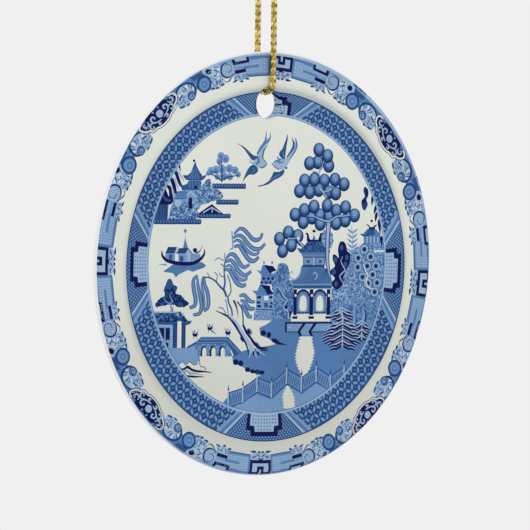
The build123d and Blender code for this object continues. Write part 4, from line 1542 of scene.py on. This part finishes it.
def draw_right_side(pen):
    """The trees, far house and firs to the right of the tea house."""
    far = [
        (14.2, -9.4), (14.3, -4.0), (16.5, -2.0), (18.0, 2.0), (19.2, 3.2), (20.4, 3.6), (21.5, 4.4),
        (25.6, 4.4), (25.9, 0.0), (25.3, -6.0), (24.4, -9.0), (22.0, -12.0), (17.0, -11.0),
    ]
    pen.fill("light", far, up=2)
    speckle(pen, far, ("mid", "pale", "mid", "strong"), 0.4, 0.2, 3, 21, 1.3)
    near = [(14.6, -6.6), (19.0, -6.4), (25.3, -6.2), (24.4, -9.3), (22.0, -12.4), (14.0, -10.5)]
    pen.fill("mid", near, up=4)
    speckle(pen, near, ("light", "strong", "light"), 0.42, 0.16, 5, 22, 2.0)
    pen.fill("navy", [
        (15.8, 1.6), (15.6, 3.0), (16.0, 4.2), (16.7, 4.4), (17.3, 3.9), (17.7, 2.7), (18.3, 2.2),
        (18.2, 0.6), (17.4, -0.7), (16.9, -1.8), (16.8, -3.1), (15.6, -3.9), (14.5, -3.4), (14.4, -2.7),
        (15.0, -2.0), (14.1, -1.2), (14.1, -0.6), (15.0, 0.1), (14.5, 1.2), (14.6, 2.1), (15.2, 2.0),
    ], rounded=True, up=6)
    for x, z in ((16.4, 3.3), (17.6, 1.6), (15.1, 1.2), (14.8, -0.9), (15.3, -3.0), (17.3, 0.4)):
        pen.dot("strong", (x, z), 0.4, 0.5, points=12, up=7)
    pen.line("pale", [
        (16.7, 1.8), (16.3, 1.0), (16.7, 0.2), (17.2, -0.6), (16.5, -1.2), (16.1, -1.7), (16.5, -2.4),
        (17.0, -3.1),
    ], (0.1, 0.22, 0.24, 0.12), up=8)
    pen.line("light", [(18.9, 0.8), (18.7, 3.0), (18.8, 5.0), (18.5, 7.2)], (0.24, 0.2, 0.1), up=4)
    for k in range(5):
        z = 2.4 + 0.85 * k
        for side in (-1, 1):
            leaf(pen, "light", (18.75, z), (18.75 + side * 1.2, z + 0.8), 0.42, 4)
    for x, z in (
        (21.4, 3.0), (20.1, 1.5), (22.8, 1.7), (20.0, -0.1), (22.1, 0.1), (24.0, 0.1), (21.1, -1.8),
        (23.3, -1.4), (22.3, -2.9), (24.3, -2.8), (23.8, -4.4),
    ):
        for ink, r in (("strong", 1.0), ("pale", 0.86), ("mid", 0.56), ("navy", 0.34)):
            pen.dot(ink, (x, z), r, r * 0.92, points=16, up=6 + int(r < 0.9) + int(r < 0.6) + int(r < 0.4))
    pen.line("cream", [
        (21.2, 0.4), (21.8, -0.9), (22.3, -1.6), (21.9, -2.6), (22.5, -3.6), (23.3, -3.8),
    ], (0.14, 0.24, 0.16), up=10)
    # the far house
    pen.fills(
        ("mid", 4, [
            (22.0, 6.6), (23.8, 6.6), (24.9, 5.7), (24.9, 4.0), (21.3, 4.0), (21.2, 5.2), (20.5, 5.6),
            (21.2, 5.8),
        ]),
        ("strong", 5, [(22.2, 6.6), (23.6, 6.6), (23.6, 5.5), (21.6, 5.3)]),
        ("navy", 6, [
            (21.6, 7.4), (22.3, 6.9), (22.4, 6.5), (23.6, 6.5), (23.7, 6.9), (24.3, 7.3), (23.6, 7.25),
            (23.3, 6.9), (22.6, 6.9), (22.2, 7.3),
        ]),
    )
    pen.dot("navy", (22.9, 7.95), 0.28, 0.24, up=6)
    pen.line("deep", [(20.5, 5.7), (21.2, 5.4), (22.0, 5.5)], 0.22, up=6)
    for x in (21.8, 22.6, 23.4, 24.2):
        box(pen, "pale", x, x + 0.3, 4.1, 5.2, 6)
    for z in (3.4, 2.7, 2.0):
        pen.line("cream" if z == 2.7 else "mid", [(23.6, z), (25.7, z)], 0.3, up=5)
    for foot, tip in (
        ((23.1, 12.6), (22.9, 10.6)), ((23.9, 10.8), (23.4, 9.1)), ((24.0, 9.5), (23.7, 7.8)),
        ((24.4, 8.3), (24.9, 5.6)), ((25.1, 5.4), (25.2, 3.7)),
    ):
        leaf(pen, "navy", foot, tip, 0.62, 6)
    pen.fill("deep", [
        (21.3, 13.9), (22.0, 13.4), (22.1, 12.4), (21.7, 11.6), (22.0, 10.8), (21.4, 9.8), (20.8, 10.2),
        (20.6, 11.4), (21.3, 12.2), (21.0, 13.2),
    ], rounded=True, up=5)
    pen.dot("navy", (21.2, 11.4), 0.5, 0.4, up=6)
    pen.dot("navy", (21.7, 12.9), 0.28, 0.6, up=6)
    box(pen, "light", 19.2, 19.7, -12.0, -6.5, 7)
    box(pen, "deep", 19.7, 19.85, -10.6, -7.0, 7)
    pen.lines(
        ("pale", 12, (0.16, 0.34, 0.24), [(16.2, -7.0), (16.3, -7.8), (16.9, -8.8), (16.8, -10.0)]),
        ("deep", 7, (0.2, 0.4, 0.2), [(21.6, -7.4), (21.9, -8.4), (21.8, -9.6)]),
        ("pale", 8, (0.1, 0.26, 0.1), [(21.4, -7.4), (21.6, -8.4), (21.4, -9.6)]),
    )
    spruce(pen, 16.8, -7.4, 5, 2.4, 0.35)
    spruce(pen, 21.1, -9.6, 6, 1.8, 0.5)
    spruce(pen, 16.9, -9.6, 9, 4.4, 0.3)


def draw_picture(pen):
    pen.place = None
    pen.layer = 1
    for motif in (
        draw_ground, draw_island, draw_boat, draw_birds, draw_gatehouse, draw_bridge, draw_small_pagoda,
        draw_teahouse, draw_right_side, draw_fruit_tree, draw_willow, draw_fence,
    ):
        motif(pen)


# ---------------------------------------------------------------- the braided cord
STRANDS_EACH_WAY = 4
BRAID_PITCH = 0.0052
STRAND_WIDTH = 0.00052
STRAND_THICKNESS = 0.00026
WEAVE_HEIGHT = 0.000105
SAMPLES_PER_PITCH = 40
SECTION_POINTS = 8
FILAMENTS = 26
FILAMENT_WIDTH = 0.00007
FILAMENT_LENGTH = (0.0016, 0.0034)
KNOT_LOOP = 0.00042
KNOT_WEAVE = 0.00055
KNOT_SAMPLES = 120
TAIL_FOOT_ASIDE = 0.0004
TAIL_BEND_ASIDE = 0.0025
TAIL_TIP_ASIDE = 0.0075
TAIL_SPREAD = 0.0008
TAIL_TIP_DROP = 0.0016
CROWN_END_Y = 0.0009
FRAY_SPREAD = 0.45


def nurbs_line(name, points):
    """Points along the smooth NURBS line that has these control points."""
    curve = bpy.data.curves.new(name, "CURVE")
    curve.dimensions = "3D"
    spline = curve.splines.new("NURBS")
    spline.points.add(len(points) - 1)
    for point, place in zip(spline.points, points):
        point.co = (*place, 1)
    spline.order_u = 3
    spline.use_endpoint_u = True
    spline.resolution_u = 24
    holder = new_object(name, curve)
    bpy.context.view_layer.update()
    mesh = bpy.data.meshes.new_from_object(holder)
    line = [v.co.copy() for v in mesh.vertices]
    bpy.data.objects.remove(holder)
    bpy.data.meshes.remove(mesh)
    return line


def even_samples(line, step):
    """The line's places and directions at even steps along it."""
    points = np.array(line)
    gaps = np.linalg.norm(np.diff(points, axis=0), axis=1)
    along = np.concatenate([[0], np.cumsum(gaps)])
    count = max(int(along[-1] / step), 8)
    stations = np.linspace(0, along[-1], count + 1)
    places = np.stack([np.interp(stations, along, points[:, axis]) for axis in range(3)], 1)
    directions = np.gradient(places, axis=0)
    directions /= np.linalg.norm(directions, axis=1)[:, None]
    return stations, places, directions


def carried_frames(directions, first_side):
    """Two sideways axes at each sample, carried along the line without twisting."""
    side = np.array(first_side, float)
    sides = []
    for direction in directions:
        side = side - direction * side.dot(direction)
        side /= np.linalg.norm(side)
        sides.append(side)
    sides = np.array(sides)
    return sides, np.cross(directions, sides)


def braid_mesh(name, line, first_side, gold, frayed=False):
    """A round braid of flat strands that pass over and under each other along the line."""
    stations, places, directions = even_samples(line, BRAID_PITCH / SAMPLES_PER_PITCH)
    sides, others = carried_frames(directions, first_side)
    middle = CORD_DIAMETER / 2 - WEAVE_HEIGHT - STRAND_THICKNESS / 2
    vertices, faces = [], []
    section = np.arange(SECTION_POINTS) * 2 * pi / SECTION_POINTS
    for way in (1, -1):
        for strand in range(STRANDS_EACH_WAY):
            turn = way * 2 * pi * stations / BRAID_PITCH + 2 * pi * strand / STRANDS_EACH_WAY
            lift = middle + way * WEAVE_HEIGHT * np.cos(8 * pi * stations / BRAID_PITCH)
            outward = np.cos(turn)[:, None] * sides + np.sin(turn)[:, None] * others
            centre = places + outward * lift[:, None]
            run = np.gradient(centre, axis=0)
            run /= np.linalg.norm(run, axis=1)[:, None]
            across = np.cross(run, outward)
            across /= np.linalg.norm(across, axis=1)[:, None]
            normal = np.cross(across, run)
            first = len(vertices)
            for c, s, n in zip(centre, across, normal):
                for angle in section:
                    sideways = s * cos(angle) * STRAND_WIDTH / 2
                    vertices.append(c + sideways + n * sin(angle) * STRAND_THICKNESS / 2)
            rings = len(centre)
            for ring in range(rings - 1):
                for k in range(SECTION_POINTS):
                    a = first + ring * SECTION_POINTS + k
                    b = first + ring * SECTION_POINTS + (k + 1) % SECTION_POINTS
                    faces.append((a, b, b + SECTION_POINTS, a + SECTION_POINTS))
            last = first + (rings - 1) * SECTION_POINTS
            faces.append(tuple(first + k for k in reversed(range(SECTION_POINTS))))
            faces.append(tuple(last + k for k in range(SECTION_POINTS)))
    mesh = bpy.data.meshes.new(name)
    turned_back = len(faces) // 2
    if frayed:
        fray(vertices, faces, places[-1], directions[-1])
    mesh.from_pydata([tuple(v) for v in vertices], [], faces)
    mesh.shade_smooth()
    for material in gold:
        mesh.materials.append(material)
    # Strands turning one way take the bright gold; strands turning the other way take the deep gold, which
    # is partly a darker yarn and partly painted shade.
    mesh.polygons.foreach_set("material_index", [int(i >= turned_back) for i in range(len(faces))])
    piece = new_object(name, mesh)
    return piece, [tuple(p) for p in places]


def fray(vertices, faces, end, direction):
    """Loose filaments spreading from a cut end."""
    random = np.random.default_rng(5)
    for _ in range(FILAMENTS):
        aim = direction + random.uniform(-FRAY_SPREAD, FRAY_SPREAD, 3)
        start = end + random.uniform(-1, 1, 3) * CORD_DIAMETER * 0.3
        tip = start + aim * random.uniform(*FILAMENT_LENGTH)
        side = np.cross(aim, random.uniform(-1, 1, 3))
        side *= FILAMENT_WIDTH / np.linalg.norm(side)
        first = len(vertices)
        vertices.extend([start + side, start - side / 2 + direction * FILAMENT_WIDTH, start - side, tip])
        faces.extend((first + a, first + b, first + 3) for a, b in ((0, 1), (1, 2), (2, 0)))


def add_knot(gold):
    """The overhand knot over the crown and its two frayed ends."""
    knot_middle = (knot_low + knot_high) / 2
    turns = np.linspace(0, 2 * pi, KNOT_SAMPLES)
    loop = [
        knot_middle
        + Vector((sin(t) + 2 * sin(2 * t), cos(t) - 2 * cos(2 * t), 0)) * KNOT_LOOP
        - Vector((0, 0, sin(3 * t) * KNOT_WEAVE))
        for t in turns
    ]
    pieces = [braid_mesh("knot", loop, (0, 0, 1), gold)[0]]
    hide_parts("cord_knot")
    for side, name in ((-1, "left"), (1, "right")):
        low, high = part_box("cord_tail_" + name)
        foot = Vector((side * TAIL_FOOT_ASIDE, side * TAIL_SPREAD / 2, low.z))
        bend = Vector((side * TAIL_BEND_ASIDE, side * TAIL_SPREAD, high.z))
        tip = Vector((side * TAIL_TIP_ASIDE, side * TAIL_SPREAD, high.z - TAIL_TIP_DROP))
        route = nurbs_line("tail_route", [foot, bend, tip])
        tail = braid_mesh("tail_" + name, route, (0, 1, 0), gold, frayed=True)[0]
        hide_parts("cord_tail_" + name)
        pieces.append(tail)
    for piece in pieces:
        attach(piece, "hanger")
    return pieces


def add_cord(gold):
    """The loop in one braid: over the crown, down in front, through the hole and up behind."""
    crown_z = CORD_DIAMETER / 2
    hook_reach = 6 * CORD_DIAMETER
    bight_reach = 4 * CORD_DIAMETER
    route = [
        (0, -CROWN_END_Y, crown_z),
        (0, -leg_y, crown_z),
        (0, -leg_y, crown_z - hook_reach),
        (0, -leg_y, bight_z + bight_reach),
        (0, -leg_y, bight_z),
        (0, leg_y, bight_z),
        (0, leg_y, bight_z + bight_reach),
        (0, leg_y, crown_z - hook_reach),
        (0, leg_y, crown_z),
        (0, CROWN_END_Y, crown_z),
    ]
    line = nurbs_line("cord_route", route)
    cord, path = braid_mesh("gold_cord", line, (1, 0, 0), gold)
    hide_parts("hanging_cord", "cord_crown")
    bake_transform(cord)
    add_knot(gold)


# ---------------------------------------------------------------- inks
INKS = {
    "cream": (0.815, 0.850, 0.785),
    "pale": (0.350, 0.490, 0.670),
    "light": (0.190, 0.335, 0.570),
    "mid": (0.085, 0.205, 0.445),
    "strong": (0.026, 0.092, 0.262),
    "deep": (0.008, 0.046, 0.185),
    "navy": (0.001, 0.006, 0.078),
}
INK_SPREAD = 0.06
CREAM_SPREAD = 0.012
RING_SHADE_FROM = 30 * MM
RING_SHADE_TO = 32 * MM
RING_SHADE = (
    (0, (1, 1, 1)), (0.03, (0.55, 0.62, 0.68)), (0.25, (0.62, 0.68, 0.72)), (0.55, (0.9, 0.9, 0.9)),
    (0.85, (1, 1, 1)),
)
HEIGHT_SHADE = ((0.1, (0.8, 0.8, 0.78)), (0.5, (0.98, 0.97, 0.96)), (0.75, (1.02, 1.01, 1.0)))
RING_SHADE_BY_HEIGHT = ((0.08, (0.12, 0.12, 0.12)), (0.42, (1, 1, 1)))


def ink_material(name, colour):
    """Transfer ink under the glaze: it drifts a little in strength, and fine grain breaks it up."""
    material, shader = new_material("ink_" + name, Roughness=0.22, Specular_IOR_Level=0.08)
    grain = noise_node(material, 2200, 2.0)
    drift = noise_node(material, 90, 2.0)
    blend = add_node(material, "ShaderNodeMix", data_type="FLOAT")
    blend.inputs["Factor"].default_value = 0.55
    link(material, grain.outputs["Fac"], blend.inputs["A"])
    link(material, drift.outputs["Fac"], blend.inputs["B"])
    spread = CREAM_SPREAD if name == "cream" else INK_SPREAD
    dark = tuple(c * (1 - 2 * spread) for c in colour)
    bright = tuple(c * (1 + 2 * spread) for c in colour)
    ramp = ramp_node(material, blend.outputs["Result"], [(0.3, dark), (0.7, bright)])
    result = ramp.outputs["Color"]
    if name == "cream":
        for shade in cream_shades(material):
            result = multiply(material, result, shade)
    link(material, result, shader.inputs["Base Color"])
    return material


def multiply(material, first, second):
    """The product of two colour outputs."""
    product = add_node(material, "ShaderNodeMix", data_type="RGBA", blend_type="MULTIPLY")
    product.inputs["Factor"].default_value = 1.0
    link(material, first, product.inputs[6])
    link(material, second, product.inputs[7])
    return product.outputs[2]


def cream_shades(material):
    """The plate's ground is shaded round the ring, and greyer towards the bottom."""
    place = add_node(material, "ShaderNodeTexCoord")
    reach = add_node(material, "ShaderNodeVectorMath", operation="DISTANCE")
    reach.inputs[1].default_value = (PRINT_SHIFT[0] * MM, disc_low.y, disc_middle.z + PRINT_SHIFT[1] * MM)
    link(material, place.outputs["Object"], reach.inputs[0])
    split = add_node(material, "ShaderNodeSeparateXYZ")
    link(material, place.outputs["Object"], split.inputs["Vector"])
    shades = []
    for source, low, high, stops in (
        (reach.outputs["Value"], RING_SHADE_FROM, RING_SHADE_TO, RING_SHADE),
        (split.outputs["Z"], disc_low.z, disc_high.z, HEIGHT_SHADE),
    ):
        span = add_node(material, "ShaderNodeMapRange")
        span.inputs["From Min"].default_value = low
        span.inputs["From Max"].default_value = high
        link(material, source, span.inputs["Value"])
        shades.append(ramp_node(material, span.outputs["Result"], stops).outputs["Color"])
    ring_shade, height_shade = shades
    strength = ramp_node(material, span.outputs["Result"], RING_SHADE_BY_HEIGHT)
    eased = add_node(material, "ShaderNodeMix", data_type="RGBA")
    eased.inputs[6].default_value = (1, 1, 1, 1)
    link(material, strength.outputs["Color"], eased.inputs["Factor"])
    link(material, ring_shade, eased.inputs[7])
    return eased.outputs[2], height_shade


def draw_print():
    """Draw everything flat, then lay it over the disc as one piece for each ink."""
    pen = Drawing()
    band(pen, "cream", 0.001, PRINT_RADIUS)
    draw_picture(pen)
    draw_ring(pen, layer=40)
    draw_border(pen, layer=1)
    used = sorted({number for layers in pen.triangles.values() for number, _ in layers})
    order = list(INKS)
    for ink, layers in pen.triangles.items():
        heights = {
            number: PRINT_BASE + (rank + order.index(ink) / (len(order) + 1)) * LAYER_STEP
            for rank, number in enumerate(used)
        }
        ink_piece(ink, layers, ink_material(ink, INKS[ink]), heights)


add_camera()
add_floor()
add_lights()
# Two golds for the braid's two strand directions: partly a two-tone yarn, partly a lit and a shaded copy of
# one gold. The bright gold is painted light and the deep gold is painted shade.
gold = (
    gold_material("gold_bright_painted_light", (0.5, 0.35, 0.045), (0.96, 0.85, 0.43)),
    gold_material("gold_deep_painted_shade", (0.18, 0.122, 0.009), (0.68, 0.49, 0.11)),
)
draw_print()
white_glaze = glaze_material("white_glaze", (0.87, 0.875, 0.87), (0.90, 0.905, 0.90))
for node in ("porcelain_disc", "front_print"):
    frame["nodes"][node].data.materials.clear()
    frame["nodes"][node].data.materials.append(white_glaze)
add_cord(gold)
